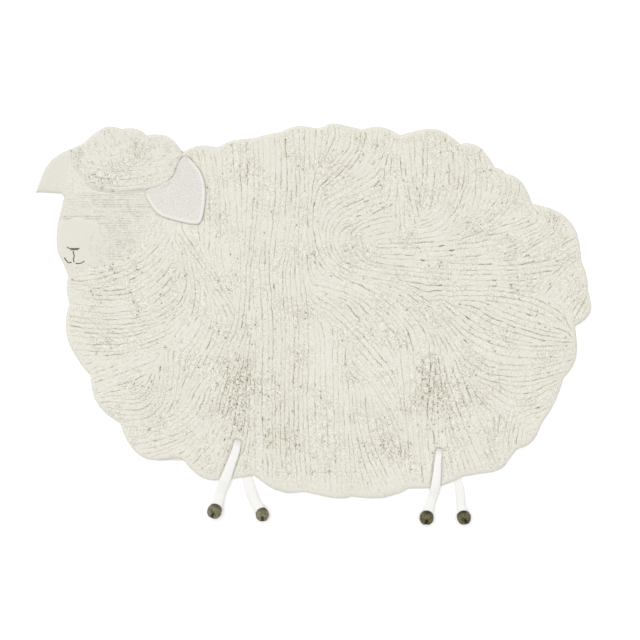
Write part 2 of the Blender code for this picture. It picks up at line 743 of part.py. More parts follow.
def make_tuck_cutter(name, rows, material):
    """A low box under the rug's edge, round the flattened end of a far leg."""
    start, edge = np.array(rows[0][:2], float), np.array(rows[1][:2], float)
    along = (edge - start) / np.linalg.norm(edge - start)
    across = np.array((-along[1], along[0]))
    half = max(LegSection(*row).width for row in rows[:TUCK_SECTIONS]) / 2 + GAP
    back, front = start - along * GAP, edge + along * TUCK_REACH
    bm = bmesh.new()
    corners = (back - across * half, back + across * half, front + across * half, front - across * half)
    floor = bm.faces.new([bm.verts.new((x * MM, y * MM, TUCK_FLOOR * MM)) for x, y in corners])
    raised = bmesh.ops.extrude_face_region(bm, geom=[floor])["geom"]
    for vert in (v for v in raised if isinstance(v, bmesh.types.BMVert)):
        vert.co.z = TUCK_CEILING * MM
    bmesh.ops.recalc_face_normals(bm, faces=bm.faces)
    return make_object(name, bm, material)


def make_material(name):
    material = bpy.data.materials.new(name)
    material.use_nodes = True
    shader = material.node_tree.nodes["Principled BSDF"]
    shader.inputs["Base Color"].default_value = (*COLOURS[name], 1.0)
    shader.inputs["Roughness"].default_value = CLOTH_ROUGHNESS
    shader.inputs["Metallic"].default_value = 0.0
    return material


def centre_on_origin(pieces):
    """Shift all the pieces by a parent empty, so that the origin is under their middle."""
    corners = np.array([v.co for piece in pieces for v in piece.data.vertices])
    middle = (corners.min(0) + corners.max(0)) / 2
    stand = bpy.data.objects.new("rug_centre", None)
    bpy.context.scene.collection.objects.link(stand)
    stand.location = (-middle[0], -middle[1], 0.0)
    for piece in bpy.context.scene.objects:
        if piece is not stand:
            piece.parent = stand


def main():
    for leftover in list(bpy.context.scene.objects):
        bpy.data.objects.remove(leftover, do_unlink=True)
    materials = {name: make_material(name) for name in COLOURS}
    rug = make_rug(materials["fleece"])
    pieces = [rug, make_near_ear(materials["ear_cloth"])]
    for place, rows in LEGS.items():
        leg = make_leg("leg_" + place, rows, materials["leg_cotton"])
        hoof = make_object("hoof_" + place, hoof_mesh(HOOVES[place]), materials["hoof_felt"])
        socket = hoof_mesh(HOOVES[place], swell=GAP, cleft=0.0)
        cut_away(leg, make_object("socket_" + place, socket, materials["hoof_felt"]))
        pieces += [leg, hoof]
        if place.startswith("far"):
            cut_away(rug, make_tuck_cutter("tuck_" + place, rows, materials["fleece"]))
    centre_on_origin(pieces)


main()
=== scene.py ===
import math
from collections import namedtuple

import bmesh
import bpy
import numpy as np
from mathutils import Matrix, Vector, noise
from mathutils.geometry import delaunay_2d_cdt
from mathutils.kdtree import KDTree


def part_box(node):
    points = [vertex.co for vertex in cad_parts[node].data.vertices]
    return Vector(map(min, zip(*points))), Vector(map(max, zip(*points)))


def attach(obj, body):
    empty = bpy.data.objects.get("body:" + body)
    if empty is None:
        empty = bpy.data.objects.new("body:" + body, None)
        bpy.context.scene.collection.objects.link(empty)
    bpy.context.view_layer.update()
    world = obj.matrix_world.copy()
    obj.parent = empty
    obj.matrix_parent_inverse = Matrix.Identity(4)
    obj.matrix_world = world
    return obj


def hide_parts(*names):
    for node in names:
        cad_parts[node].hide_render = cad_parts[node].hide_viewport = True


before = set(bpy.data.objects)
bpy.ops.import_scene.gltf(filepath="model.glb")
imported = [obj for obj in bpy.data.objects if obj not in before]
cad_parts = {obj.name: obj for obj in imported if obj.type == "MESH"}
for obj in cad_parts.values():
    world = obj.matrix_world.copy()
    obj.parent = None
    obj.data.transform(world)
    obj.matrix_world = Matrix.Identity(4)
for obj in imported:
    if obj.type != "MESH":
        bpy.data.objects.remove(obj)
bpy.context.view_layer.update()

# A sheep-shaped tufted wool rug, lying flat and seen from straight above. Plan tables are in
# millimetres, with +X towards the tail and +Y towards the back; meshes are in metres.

mm = 0.001
draw = np.random.default_rng(7)      # one source of chance, always the same

# Scalloped outline, clockwise from the nape. Each row starts a scallop: how far it swells past
# its chord, where its crown sits (0.5 is the middle) and how full it is.
Scallop = namedtuple("Scallop", "x y rise lean fullness", defaults=(0.5, 1.0))
scallops = [Scallop(*row) for row in (
    (-400, 525, 15),
    (-290, 540, 10, 0.40),
    (-180, 570, 1),
    (-95, 590, 12, 0.45),
    (10, 600, 0),
    (35, 605, 12, 0.30),
    (150, 595, 16),
    (265, 580, 34, 0.55),
    (450, 550, 26, 0.40),
    (555, 480, 5),
    (590, 460, 19, 0.40),
    (670, 370, 52),
    (820, 195, 6),
    (840, 100, 29),
    (800, -5, 24, 0.55),
    (765, -165, 7),
    (700, -300, 17, 0.55),
    (625, -380, 10, 0.65),
    (550, -450, 0),
    (455, -465, 2),
    (385, -495, 0),
    (345, -500, 0),
    (290, -502, 17, 0.45),
    (115, -525, 10, 0.30),
    (-25, -512, 14),
    (-150, -485, 0),
    (-183, -460, 0),
    (-220, -467, 2),
    (-295, -475, 17, 0.40),
    (-400, -410, 0),
    (-425, -405, 52, 0.45),
    (-590, -300, 28),
    (-680, -155, 35, 0.55, 0.8),
    (-745, 60, 6, 0.60),
    (-748, 150, 0),
    (-775, 210, 14, 0.40),
    (-760, 390, 0),
    (-770, 402, 0),
    (-848, 404, 26, 0.55, 0.9),
    (-735, 538, 0),
    (-700, 555, 2),
    (-640, 603, 4, 0.40),
    (-585, 597, 12, 0.55),
    (-510, 578, 25),
)]
jawScallop, browScallop = 34, 39     # rows of the table where the jaw and the top-knot start

# How the rows of pile run: x and y of each stroke of the comb at its start, middle and end.
combing = (
    (-330, 530, -310, 410, -310, 260),      # shoulder, nape to chest
    (-270, 550, -260, 380, -240, 200),
    (-170, 560, -170, 380, -190, 190),
    (-70, 590, -60, 400, -90, 190),
    (-20, 590, -20, 400, 0, 190),
    (-390, 250, -310, 140, -240, 40),
    (-220, 70, -260, -60, -340, -190),
    (-390, 210, -370, 70, -410, -30),
    (-640, 150, -520, 200, -450, 280),      # chest
    (-730, 70, -540, 70, -420, 170),
    (-730, 10, -510, 10, -390, 90),
    (-710, -70, -560, -70, -440, -30),
    (-680, -160, -610, -130, -530, -100),
    (-580, -290, -470, -260, -440, -120),
    (-560, -350, -400, -310, -330, -220),
    (-390, -430, -310, -350, -260, -230),
    (-280, -470, -230, -380, -210, -250),
    (-140, 150, -130, 10, -130, -120),      # belly
    (-40, 170, -30, 10, -30, -140),
    (-160, -120, -160, -280, -150, -460),
    (-30, -140, -30, -290, -20, -480),
    (80, -20, 80, -230, 90, -490),
    (150, -150, 210, -220, 260, -320),
    (160, -230, 180, -350, 240, -480),
    (280, -60, 290, -230, 300, -410),
    (360, -230, 360, -350, 380, -480),
    (410, -110, 460, -260, 520, -400),
    (600, -290, 590, -350, 590, -410),      # haunch
    (570, -230, 640, -250, 720, -220),
    (430, -50, 550, -150, 760, -130),
    (400, 40, 570, -60, 790, -70),
    (520, 40, 630, -10, 760, -40),
    (370, 80, 630, 80, 790, -20),
    (300, 170, 540, 160, 720, 170),
    (790, 20, 810, 60, 840, 110),
    (730, 120, 770, 170, 820, 210),
    (250, 230, 430, 240, 680, 270),         # rump
    (560, 470, 570, 390, 480, 300),
    (710, 360, 710, 300, 630, 230),
    (270, 530, 290, 410, 310, 310),         # whorl on the back
    (320, 300, 390, 330, 450, 410),
    (370, 560, 370, 480, 360, 390),
    (420, 550, 430, 460, 420, 370),
    (490, 530, 500, 450, 490, 360),
    (250, 560, 190, 470, 60, 390),          # crook of the back
    (120, 600, 110, 530, 40, 450),
    (220, 370, 80, 340, 50, 240),
    (50, 230, 110, 170, 270, 140),
    (230, 368, 165, 330, 105, 300),
    (210, 400, 160, 375, 90, 330),
    (226, 500, 225, 430, 224, 385),
    (262, 480, 262, 400, 262, 320),
    (160, 46, 192, 4, 226, -40),
    (220, 320, 130, 290, 130, 230),
    (10, 370, 10, 260, 70, 160),
    (30, 120, 170, 70, 270, -30),           # flank
    (20, 60, 110, -10, 220, -130),
    (260, 110, 340, 50, 430, -50),
    (290, 50, 350, -40, 360, -150),
    (-650, 590, -650, 550, -650, 510),      # top-knot
    (-500, 560, -490, 530, -510, 500),
    (-710, 490, -590, 480, -450, 480),
    (-670, 440, -580, 430, -470, 450),
)

topknotEdge = ((-738, 524), (-734, 486), (-708, 453), (-684, 418), (-643, 406), (-584, 400), (-512, 406))
jawEdge = ((-484, 342), (-500, 300), (-524, 246), (-566, 204), (-640, 181), (-748, 152))
underEar = ((-512, 406), (-440, 430), (-400, 470), (-400, 532))    # hidden seam, top-knot to nape
earOutline = (                                                     # its first five corners are sewn down
    (-511, 407), (-462, 427), (-425, 455), (-410, 496), (-388, 514), (-358, 488), (-336, 452),
    (-327, 404), (-331, 352), (-342, 312), (-368, 306), (-424, 318), (-468, 334), (-496, 366),
)
muzzle = dict(x=-716, y=250, halfWidth=84, halfHeight=74)

# Centre lines of the legs, from the sewn end to the hoof.
LegSection = namedtuple("LegSection", "x y width underside thickness")
legs = {
    "near_front": (
        (-228, -352, 20, 11.3, 5.0),
        (-237, -390, 26, 11.3, 9.0),
        (-252, -431, 29, 11.3, 11.0),
        (-266, -470, 33, 11.3, 12.0),
        (-273, -488, 34, 8.0, 12.0),
        (-282, -514, 33, 0.0, 13.0),
        (-288, -540, 31, 1.5, 16.0),
        (-297, -562, 28, 8.0, 20.0),
    ),
    "far_front": (
        (-212, -430, 28, 0.0, 4.5),
        (-203, -463, 30, 0.0, 4.8),
        (-198, -480, 32, 0.0, 9.0),
        (-190, -506, 34, 0.0, 13.0),
        (-176, -543, 34, 1.5, 16.0),
        (-158, -571, 30, 8.0, 20.0),
    ),
    "near_rear": (
        (386, -378, 17, 11.3, 5.0),
        (381, -418, 22, 11.3, 9.0),
        (378, -459, 26, 11.3, 11.0),
        (374, -491, 29, 11.3, 12.0),
        (371, -508, 29, 8.0, 12.0),
        (364, -532, 30, 0.0, 13.0),
        (355, -560, 31, 1.5, 16.0),
        (348, -582, 28, 8.0, 20.0),
    ),
    "far_rear": (
        (436, -446, 24, 0.0, 4.5),
        (443, -477, 25, 0.0, 4.8),
        (447, -495, 26, 0.0, 9.0),
        (450, -520, 28, 0.0, 13.0),
        (453, -556, 28, 1.5, 16.0),
        (458, -582, 26, 8.0, 20.0),
    ),
}
legs = {place: [LegSection(*row) for row in table] for place, table in legs.items()}


def smoothLine(corners, step, closed=False):
    # points about a step apart on a Catmull-Rom curve through the corners
    corners = [np.array(c, float) for c in corners]
    count = len(corners)
    line = []
    for i in range(count if closed else count - 1):
        if closed:
            before, start, end, after = (corners[(i + k) % count] for k in (-1, 0, 1, 2))
        else:
            start, end = corners[i], corners[i + 1]
            before = corners[i - 1] if i else 2 * start - end
            after = corners[i + 2] if i + 2 < count else 2 * end - start
        pieces = max(1, round(float(np.linalg.norm((end - start)[:2])) / step))
        for k in range(pieces):
            t = k / pieces
            line.append(0.5 * (2 * start + (end - before) * t
                               + (2 * before - 5 * start + 4 * end - after) * t ** 2
                               + (3 * start - before - 3 * end + after) * t ** 3))
    if not closed:
        line.append(corners[-1])
    return np.array(line)


def scallopLine(scallop, following, step):
    start = np.array((scallop.x, scallop.y), float)
    end = np.array((following.x, following.y), float)
    chord = end - start
    length = float(np.linalg.norm(chord))
    outward = np.array((-chord[1], chord[0])) / length
    bias = math.log(0.5) / math.log(scallop.lean)
    count = max(1, round(length / step))
    t = np.arange(count)[:, None] / count
    swell = scallop.rise * np.sin(math.pi * t ** bias) ** scallop.fullness
    return start + chord * t + outward * swell


def sideways(line, closed=False):
    # unit vectors across a line, to its left
    if closed:
        along = np.roll(line, -1, axis=0) - np.roll(line, 1, axis=0)
    else:
        along = np.gradient(line, axis=0)
    across = np.stack([-along[:, 1], along[:, 0]], axis=1)
    return across / np.maximum(np.linalg.norm(across, axis=1), 1e-9)[:, None]


def isInside(points, loop):
    # which plan points lie inside a closed loop
    points = np.atleast_2d(points)
    x0, y0 = loop[:, 0], loop[:, 1]
    x1, y1 = np.roll(x0, -1), np.roll(y0, -1)
    inside = np.zeros(len(points), bool)
    for start in range(0, len(points), 4000):
        x, y = points[start:start + 4000, :1], points[start:start + 4000, 1:2]
        spans = (y0 > y) != (y1 > y)
        crossing = x0 + (y - y0) * (x1 - x0) / np.where(spans, y1 - y0, 1.0)
        inside[start:start + 4000] = np.count_nonzero(spans & (x < crossing), axis=1) % 2 == 1
    return inside


def filledIn(line, step, closed=False):
    # the same line with points at most a step apart
    ends = np.roll(line, -1, axis=0) if closed else line[1:]
    dense = []
    for start, end in zip(line, ends):
        pieces = max(1, math.ceil(float(np.linalg.norm(end[:2] - start[:2])) / step))
        dense += [start + (end - start) * k / pieces for k in range(pieces)]
    if not closed:
        dense.append(line[-1])
    return np.array(dense)


def nearestIn(points):
    # a tree that finds the nearest of many plan points
    tree = KDTree(len(points))
    for k, point in enumerate(points):
        tree.insert((point[0], point[1], 0.0), k)
    tree.balance()
    return tree


def distancesTo(tree, points):
    return np.array([tree.find((x, y, 0.0))[2] for x, y in points[:, :2]])


def gapTo(line, points, step=1.5, closed=False):
    # how far plan points lie from a line
    return distancesTo(nearestIn(filledIn(line, step, closed)), points)


def beside(lines, offset):
    # the points of some lines, moved to the left of them
    return np.concatenate([line + sideways(line) * offset for line in lines])


def keptRuns(line, kept, shortest):
    # the unbroken stretches of a line whose points are kept
    runs = np.split(np.arange(len(line)), np.flatnonzero(np.diff(kept.astype(int))) + 1)
    return [line[run] for run in runs if kept[run[0]] and len(run) > shortest]


def toEnds(line):
    # how many points each point of a line is from the nearer end
    count = np.arange(len(line))
    return np.minimum(count, count[::-1])


class NearPoints:
    # plan points filed in square cells, to ask how near the nearest one is

    def __init__(self, reach):
        self.reach = reach
        self.cells = {}

    def cell(self, point):
        return math.floor(point[0] / self.reach), math.floor(point[1] / self.reach)

    def add(self, point):
        self.cells.setdefault(self.cell(point), []).append((point[0], point[1]))

    def distance(self, point):
        column, row = self.cell(point)
        best = self.reach
        for i in (column - 1, column, column + 1):
            for j in (row - 1, row, row + 1):
                for x, y in self.cells.get((i, j), ()):
                    best = min(best, math.hypot(x - point[0], y - point[1]))
        return best


def grain(point, size, seed=0.0):
    # smooth noise from about -1 to 1 with lumps of a size in millimetres
    return noise.noise(Vector((point[0] / size, point[1] / size, seed)))


def grainsAt(points, size, seed):
    return np.array([grain(p, size, seed) for p in points])


def clamped(values):
    return np.clip(values, 0.0, 1.0)


def eased(share):
    return share * share * (3 - 2 * share)


# How lines stray from true: the reach and size of each sway in millimetres, and its seed.
sways = dict(
    clippedEdge=((1.0, 11.0, 3.1), (1.3, 37.0, 8.2)),
    row=((3.6, 40.0, 21.0), (2.1, 14.0, 27.0)),
    gap=((1.3, 9.0, 61.0),),
)


def strayed(line, kind):
    # a line whose points stray sideways, as hand-guided tufting and clipping do
    shift = sum(reach * grainsAt(line, size, seed) for reach, size, seed in sways[kind])
    return line + sideways(line) * shift[:, None]


outlineStep, seamStep = 4.0, 5.0
outlineParts = [scallopLine(a, b, outlineStep) for a, b in zip(scallops, scallops[1:] + scallops[:1])]
outline = np.concatenate(outlineParts)
low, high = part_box("tufted_rug")
planShift = np.array((low.x + high.x, low.y + high.y)) / 2 / mm - (outline.min(0) + outline.max(0)) / 2
outline = strayed(np.concatenate([outline, outline[:1]]), "clippedEdge")[:-1]
partStarts = np.cumsum([0] + [len(part) for part in outlineParts])
jawStart, browStart = partStarts[jawScallop], partStarts[browScallop]
topknotSeam, jawSeam, earSeam = (smoothLine(edge, seamStep) for edge in (topknotEdge, jawEdge, underEar))
earLoop = smoothLine(earOutline, seamStep, closed=True)
earRoot = np.array(earOutline[:5], float)
seatMargin = 1.6                     # the seat that the ear presses into the pile is wider by this
earSeat = earLoop + seatMargin * sideways(earLoop, closed=True)

fleeceLoop = np.concatenate([outline[:jawStart], jawSeam[::-1][1:], earSeam[:-1]])
faceLoop = np.concatenate([outline[jawStart:browStart], topknotSeam, jawSeam[:-1]])
topknotLoop = np.concatenate([outline[browStart:], earSeam[::-1][:-1], topknotSeam[::-1][:-1]])

print("plan", [len(loop) for loop in (outline, fleeceLoop, faceLoop, topknotLoop)], planShift)


pile = dict(
    fleece=19.0, topknot=22.0, face=12.0, muzzle=14.0, farEar=10.0,   # heights of the wool
    canvas=2.0, root=1.8,         # top of the canvas, and how deep in it the wool starts
    pitch=14.6,                   # furrow to furrow
    step=5.0,                     # length of one tracing step
    clearance=0.64,               # a row ends when it comes this near another, in pitches
    seedClearance=0.93,
    edgeClearance=6.0,
    sharpestTurn=0.5,
    shortest=1.8,
)
rowSeeds = ((-30, -150), (600, -20), (-600, 0), (-600, 550), (430, 500))


def combingSamples(count=9):
    # points on each comb stroke, with the doubled angle of the pile there
    t = np.linspace(0.0, 1.0, count)[:, None]
    points, doubled = [], []
    for start, middle, end in np.array(combing, float).reshape(-1, 3, 2):
        handle = 2 * middle - (start + end) / 2
        points.append((1 - t) ** 2 * start + 2 * t * (1 - t) * handle + t ** 2 * end)
        slope = (1 - t) * (handle - start) + t * (end - handle)
        angle = 2 * np.arctan2(slope[:, 1], slope[:, 0])
        doubled.append(np.stack([np.cos(angle), np.sin(angle)], axis=1))
    return np.array(points), np.array(doubled)


combPoints, combDoubled = combingSamples()
strokeNumbers = np.arange(len(combing))


def pileDirection(point, heading=None):
    # unit vector along the rows at a point, turned to agree with a heading
    squared = ((combPoints - point) ** 2).sum(-1)
    nearest = squared.argmin(1)
    weights = (squared[strokeNumbers, nearest] + 144.0) ** -1.6
    cosine, sine = (combDoubled[strokeNumbers, nearest] * weights[:, None]).sum(0)
    angle = math.atan2(sine, cosine) / 2
    direction = np.array((math.cos(angle), math.sin(angle)))
    if heading is not None and direction @ heading < 0:
        direction = -direction
    return direction


def traceRow(seed, taken, mayEnter):
    # one furrow through a seed, both ways along the pile until it nears another
    halves = []
    own = []
    for sign in (1.0, -1.0):
        half, point = [], seed
        heading = sign * pileDirection(seed)
        while True:
            middle = point + pileDirection(point, heading) * pile["step"] / 2
            turned = pileDirection(middle, heading)
            ahead = point + turned * pile["step"]
            if turned @ heading < pile["sharpestTurn"] or not mayEnter(ahead):
                break
            if taken.distance(ahead) < pile["clearance"] * pile["pitch"]:
                break
            older = np.array((own + half)[:-5] or [seed + pile["pitch"]])
            if np.linalg.norm(older - ahead, axis=1).min() < pile["clearance"] * pile["pitch"]:
                break
            half.append(ahead)
            point, heading = ahead, turned
        halves.append(half)
        own = half[::-1]
    return np.array(halves[1][::-1] + [seed] + halves[0])


def pileRows(seeds, mayEnter):
    # furrows a pitch apart that cover the fleece, each new one seeded beside an old one
    taken = NearPoints(pile["pitch"])
    waiting = [np.array(seed, float) for seed in seeds]
    rows = []
    for seed in waiting:
        if taken.distance(seed) < pile["seedClearance"] * pile["pitch"] or not mayEnter(seed, True):
            continue
        row = traceRow(seed, taken, mayEnter)
        if len(row) * pile["step"] < pile["shortest"] * pile["pitch"]:
            continue
        rows.append(row)
        for point in row:
            taken.add(point)
        across = sideways(row)
        waiting += list(row + across * pile["pitch"]) + list(row - across * pile["pitch"])
    return rows


def legTrough(sections, margin=2.0):
    run = smoothLine([(section.x, section.y, section.width) for section in sections], 6.0)
    middle, half = run[:, :2], run[:, 2:3] / 2 + margin
    offset = sideways(middle) * half
    return np.concatenate([middle + offset, (middle - offset)[::-1]])


troughs = [legTrough(legs[place]) for place in ("near_front", "near_rear")]
fixedPoints = NearPoints(pile["pitch"])
for line in (outline, topknotSeam, jawSeam, *troughs):
    for point in filledIn(line, 4.0):
        fixedPoints.add(point)


def mayHaveRows(point, isSeed=False):
    # rows keep clear of the edges, which a step can't cross
    if fixedPoints.distance(point) < pile["edgeClearance"]:
        return False
    if not isSeed:
        return True
    if not (isInside(point, fleeceLoop)[0] or isInside(point, topknotLoop)[0]):
        return False
    return not any(isInside(point, trough)[0] for trough in troughs)


rows = pileRows(rowSeeds, mayHaveRows)
print("rows", len(rows), sum(len(row) for row in rows))


relief = dict(
    crown=0.25,                   # how much a row falls from its crest to its furrow
    notch=4.2, notchWidth=0.85,   # the narrow gap between two rows
    jitter=0.45, jitterSize=2.3,  # how unevenly the tufts are cut
    rimShare=0.42, rimRadius=14.0,        # the clipped edge: its share of the height, and its rounding
    bellyRadius=30.0, bellyTop=-430.0,    # it is broader and flatter along the belly
    calm=0.5, calmTop=-445.0, fade=40.0,  # and the rows fade there
    seamRadius=13.0,              # how far from a seam the long pile reaches its full height
    swellHeight=0.9, swellSize=130.0,
    tuftHeight=0.75, tuftSize=6.0,
    ruffleHeight=0.9, ruffleSize=8.0,
    loose=0.4, looseSpread=1.3, looseSize=85.0,    # patches where the tufts stand loose or lie close
    looseDetail=0.6, detailSize=31.0,
)
# Patches where the rows are ruffled: centre, reach each way and how much.
Patch = namedtuple("Patch", "x y reachX reachY amount")
ruffled = [Patch(*row) for row in (
    (-223, -185, 60, 95, 0.9),
    (-235, -330, 50, 70, 0.6),
    (-86, -353, 70, 70, 0.55),
    (220, -353, 45, 90, 0.7),
    (358, -200, 50, 90, 0.9),
    (450, -231, 60, 80, 0.7),
    (-630, 444, 80, 22, 0.75),
    (-615, 176, 100, 20, 0.6),
    (-200, 20, 60, 80, 0.3),
    (530, -20, 70, 50, 0.35),
    (300, -10, 60, 50, 0.25),
    (420, 440, 60, 50, 0.3),
)]


def patchesAt(points, patches):
    # what soft-edged patches amount to at plan points
    x, y = points[:, 0], points[:, 1]
    return sum(p.amount * np.exp(-(((x - p.x) / p.reachX) ** 2 + ((y - p.y) / p.reachY) ** 2))
               for p in patches)


def ruffleAt(points):
    return np.minimum(patchesAt(points, ruffled), 1.0)


def loosenessAt(points):
    # from 0 where the tufts lie close to 1 where they stand apart
    loose = relief["loose"] + relief["looseSpread"] * grainsAt(points, relief["looseSize"], 51.0)
    loose = loose + relief["looseDetail"] * grainsAt(points, relief["detailSize"], 52.0)
    return clamped(np.maximum(loose, ruffleAt(points)))


def unevenAt(points):
    # the same for two bodies that meet at a point, with a spread of about one
    return 3.6 * grainsAt(points, relief["jitterSize"], 77.0)


gapStep = 1.25                       # between two samples of a gap
nickLook = dict(spacing=24.0, looseSpacing=8.0, shortest=3.0, longest=9.0, stray=0.5, least=0.15, most=0.6,
                darkShare=0.08, dark=1.6)
# The crest of the top-knot is combed away from one point, in longer and paler nicks.
crest = dict(right=-400.0, foot=486.0, brow=400.0, x=-590.0, y=395.0, longest=16.0, stray=0.3, calm=0.4)


def onCrest(points, foot=crest["foot"]):
    return (points[..., 0] < crest["right"]) & (points[..., 1] > foot)


class Furrows:
    # gaps in the pile as dense samples: plan points, and how open the gap is there

    def __init__(self):
        self.places, self.openness = [], []

    def addRows(self, rows, mean, steady):
        # the gaps between rows open and close along their length
        for number, row in enumerate(rows):
            dense = filledIn(row, gapStep)
            slow = 0.5 + 1.5 * grainsAt(dense, 46.0, 11.0 + number * 0.37)
            quick = 0.5 + 1.6 * grainsAt(dense, 11.0, 40.0 + number * 0.91)
            opened = steady + (1 - steady) * 2.0 * np.clip(slow, 0.0, 1.2) * np.clip(quick, 0.0, 1.2)
            opened *= mean * draw.uniform(0.7, 1.3) * (0.75 + 0.6 * ruffleAt(dense))
            opened[onCrest(dense, crest["brow"])] *= 0.55
            opened[onCrest(dense)] *= 0.6
            self.places.append(dense)
            closing = np.clip(toEnds(dense) * gapStep / 12.0, 0.25, 1.0)
            self.openness.append(np.clip(opened, 0.04, 1.5) * closing)

    def addStrokes(self, strokes, amounts, uneven=0.0):
        for stroke, amount in zip(strokes, amounts):
            dense = filledIn(stroke, gapStep)
            change = 1 - uneven * clamped(0.45 + 1.7 * grainsAt(dense, 13.0, 87.0))
            self.places.append(dense)
            self.openness.append(amount * change * clamped(0.5 + toEnds(dense) / 3.0))

    def ready(self):
        self.openness = np.concatenate(self.openness)
        self.tree = nearestIn(np.concatenate(self.places))
        return self

    def nearest(self, points):
        # of the few nearest samples, the one whose gap bites deepest here
        opened, gaps = np.empty(len(points)), np.empty(len(points))
        for k, (x, y) in enumerate(points):
            found = [(self.openness[at] * math.exp(-(gap / 2.0) ** 2), self.openness[at], gap)
                     for _, at, gap in self.tree.find_n((x, y, 0.0), 3)]
            _, opened[k], gaps[k] = max(found)
        return opened, gaps



# Where the rows come apart more often than elsewhere: centre, reach each way and how much.
parted = [Patch(*row) for row in (
    (560, 60, 240, 130, 0.9),        # haunch
    (400, -220, 150, 150, 0.6),
    (330, 400, 150, 170, 0.7),       # back
    (180, 330, 110, 110, 0.6),
    (540, 390, 90, 80, 0.5),
    (-40, 480, 70, 110, 0.3),
    (-220, -150, 90, 150, 0.9),      # shoulder
    (-560, -30, 170, 130, 0.3),      # chest
    (200, 40, 150, 90, 0.4),         # flank
)]
# A parted stretch: how often one starts, its length, how open it is, and how often it is wide open.
partLook = dict(step=2.5, every=150.0, chance=0.25, shortest=8.0, longest=110.0, least=0.55, most=1.1,
                wideShare=0.18, wide=1.85, wideLength=24.0)


def partedStretches(rows):
    # stretches where two rows of pile stand apart, and how open each is
    stretches, amounts = [], []
    step, spread = partLook["step"], partLook["longest"] - partLook["shortest"]
    for row in rows:
        dense = filledIn(row, step)
        at = draw.uniform(0.0, partLook["every"])
        while at < step * len(dense):
            spot = dense[int(at / step):][:1]
            chance = partLook["chance"] + patchesAt(spot, parted)[0]
            length = partLook["shortest"] + spread * draw.uniform() ** 2.2
            stretch = dense[int(at / step):int((at + length) / step)]
            if len(stretch) > 2 and draw.uniform() < chance:
                wide = draw.uniform() < partLook["wideShare"] * min(1.0, chance)
                stretches.append(stretch[:int(partLook["wideLength"] / step)] if wide else stretch)
                amounts.append(partLook["wide"] if wide else draw.uniform(partLook["least"], partLook["most"]))
                if onCrest(spot[0]):
                    amounts[-1] *= crest["calm"]
            at += length + draw.exponential(partLook["every"])
    return stretches, amounts


def makeNicks(loop):
    # short gaps between single tufts, more of them where the pile is loose
    low, high = loop.min(0), loop.max(0)
    count = int(np.prod(high - low) / nickLook["looseSpacing"] ** 2)
    spots = draw.uniform(low, high, (count, 2))
    loose, chance = loosenessAt(spots), draw.uniform(0.0, 1.0, count)
    ruffles, crested = ruffleAt(spots), onCrest(spots)
    share = (nickLook["looseSpacing"] / nickLook["spacing"]) ** 2
    share = share + 0.3 * loose ** 1.5 + 0.5 * ruffles ** 1.3 + 0.25 * crested
    kept = isInside(spots, loop) & (chance < share)
    strokes, amounts = [], []
    for spot, looseHere, ruffle, fanned in zip(spots[kept], loose[kept], ruffles[kept], crested[kept]):
        heading = spot - (crest["x"], crest["y"]) if fanned else pileDirection(spot)
        stray = crest["stray"] if fanned else nickLook["stray"] * (0.5 + looseHere)
        angle = math.atan2(heading[1], heading[0]) + draw.normal(0.0, stray)
        if not fanned and draw.uniform() < 0.7 * ruffle:      # ruffled rows part crosswise
            angle += math.pi / 2
        length = draw.uniform(nickLook["shortest"], nickLook["longest"]) * (1 - 0.4 * ruffle)
        if fanned:
            length = draw.uniform(nickLook["longest"], crest["longest"])
        along = np.array((math.cos(angle), math.sin(angle))) * length / 2
        bend = np.array((-along[1], along[0])) * draw.normal(0.0, 0.3 + 0.7 * ruffle)
        strokes.append(np.array((spot - along, spot + bend, spot + along)))
        amount = draw.uniform(nickLook["least"], nickLook["most"]) * (0.6 + 0.4 * looseHere) + 0.55 * ruffle
        if draw.uniform() < nickLook["darkShare"] * (0.3 + 0.7 * looseHere + 1.5 * ruffle):
            amount = nickLook["dark"] * draw.uniform(0.7, 1.0) * (crest["calm"] if fanned else 1.0)
        amounts.append(amount)
    return strokes, amounts


rows = [strayed(row, "row") for row in rows]
fleeceFurrows = Furrows()
fleeceFurrows.addRows(rows, 0.6, 0.5)
stretches, stretchAmounts = partedStretches(rows)
gapStrokes = [strayed(stretch, "gap") for stretch in stretches]
fleeceFurrows.addStrokes(gapStrokes, stretchAmounts, 0.55)
print("parted", len(gapStrokes))
nicks, nickAmounts = makeNicks(outline)
fleeceFurrows.addStrokes(nicks, nickAmounts)
fleeceFurrows.ready()
print("nicks", len(nicks))

denseOutline = filledIn(outline, 1.5, closed=True)
atBelly = clamped((relief["bellyTop"] - denseOutline[:, 1]) / relief["fade"])
outlineRadius = relief["rimRadius"] + (relief["bellyRadius"] - relief["rimRadius"]) * atBelly
outlineTree = nearestIn(denseOutline)
seamTree = nearestIn(np.concatenate([filledIn(jawSeam, 1.5), filledIn(topknotSeam, 1.5)]))


def roundedEdge(points, seamShare, seamRadius):
    # how far in from the clipped edge, from 0 to 1, and the share of the pile that stands there
    found = [outlineTree.find((x, y, 0.0))[1:] for x, y in points]
    inward = np.array([min(1.0, gap / outlineRadius[near]) for near, gap in found])
    rise = relief["rimShare"] + (1 - relief["rimShare"]) * np.sqrt(1 - (1 - inward) ** 2)
    fromSeam = eased(np.minimum(distancesTo(seamTree, points) / seamRadius, 1.0))
    return inward, np.minimum(rise, seamShare + (1 - seamShare) * fromSeam)


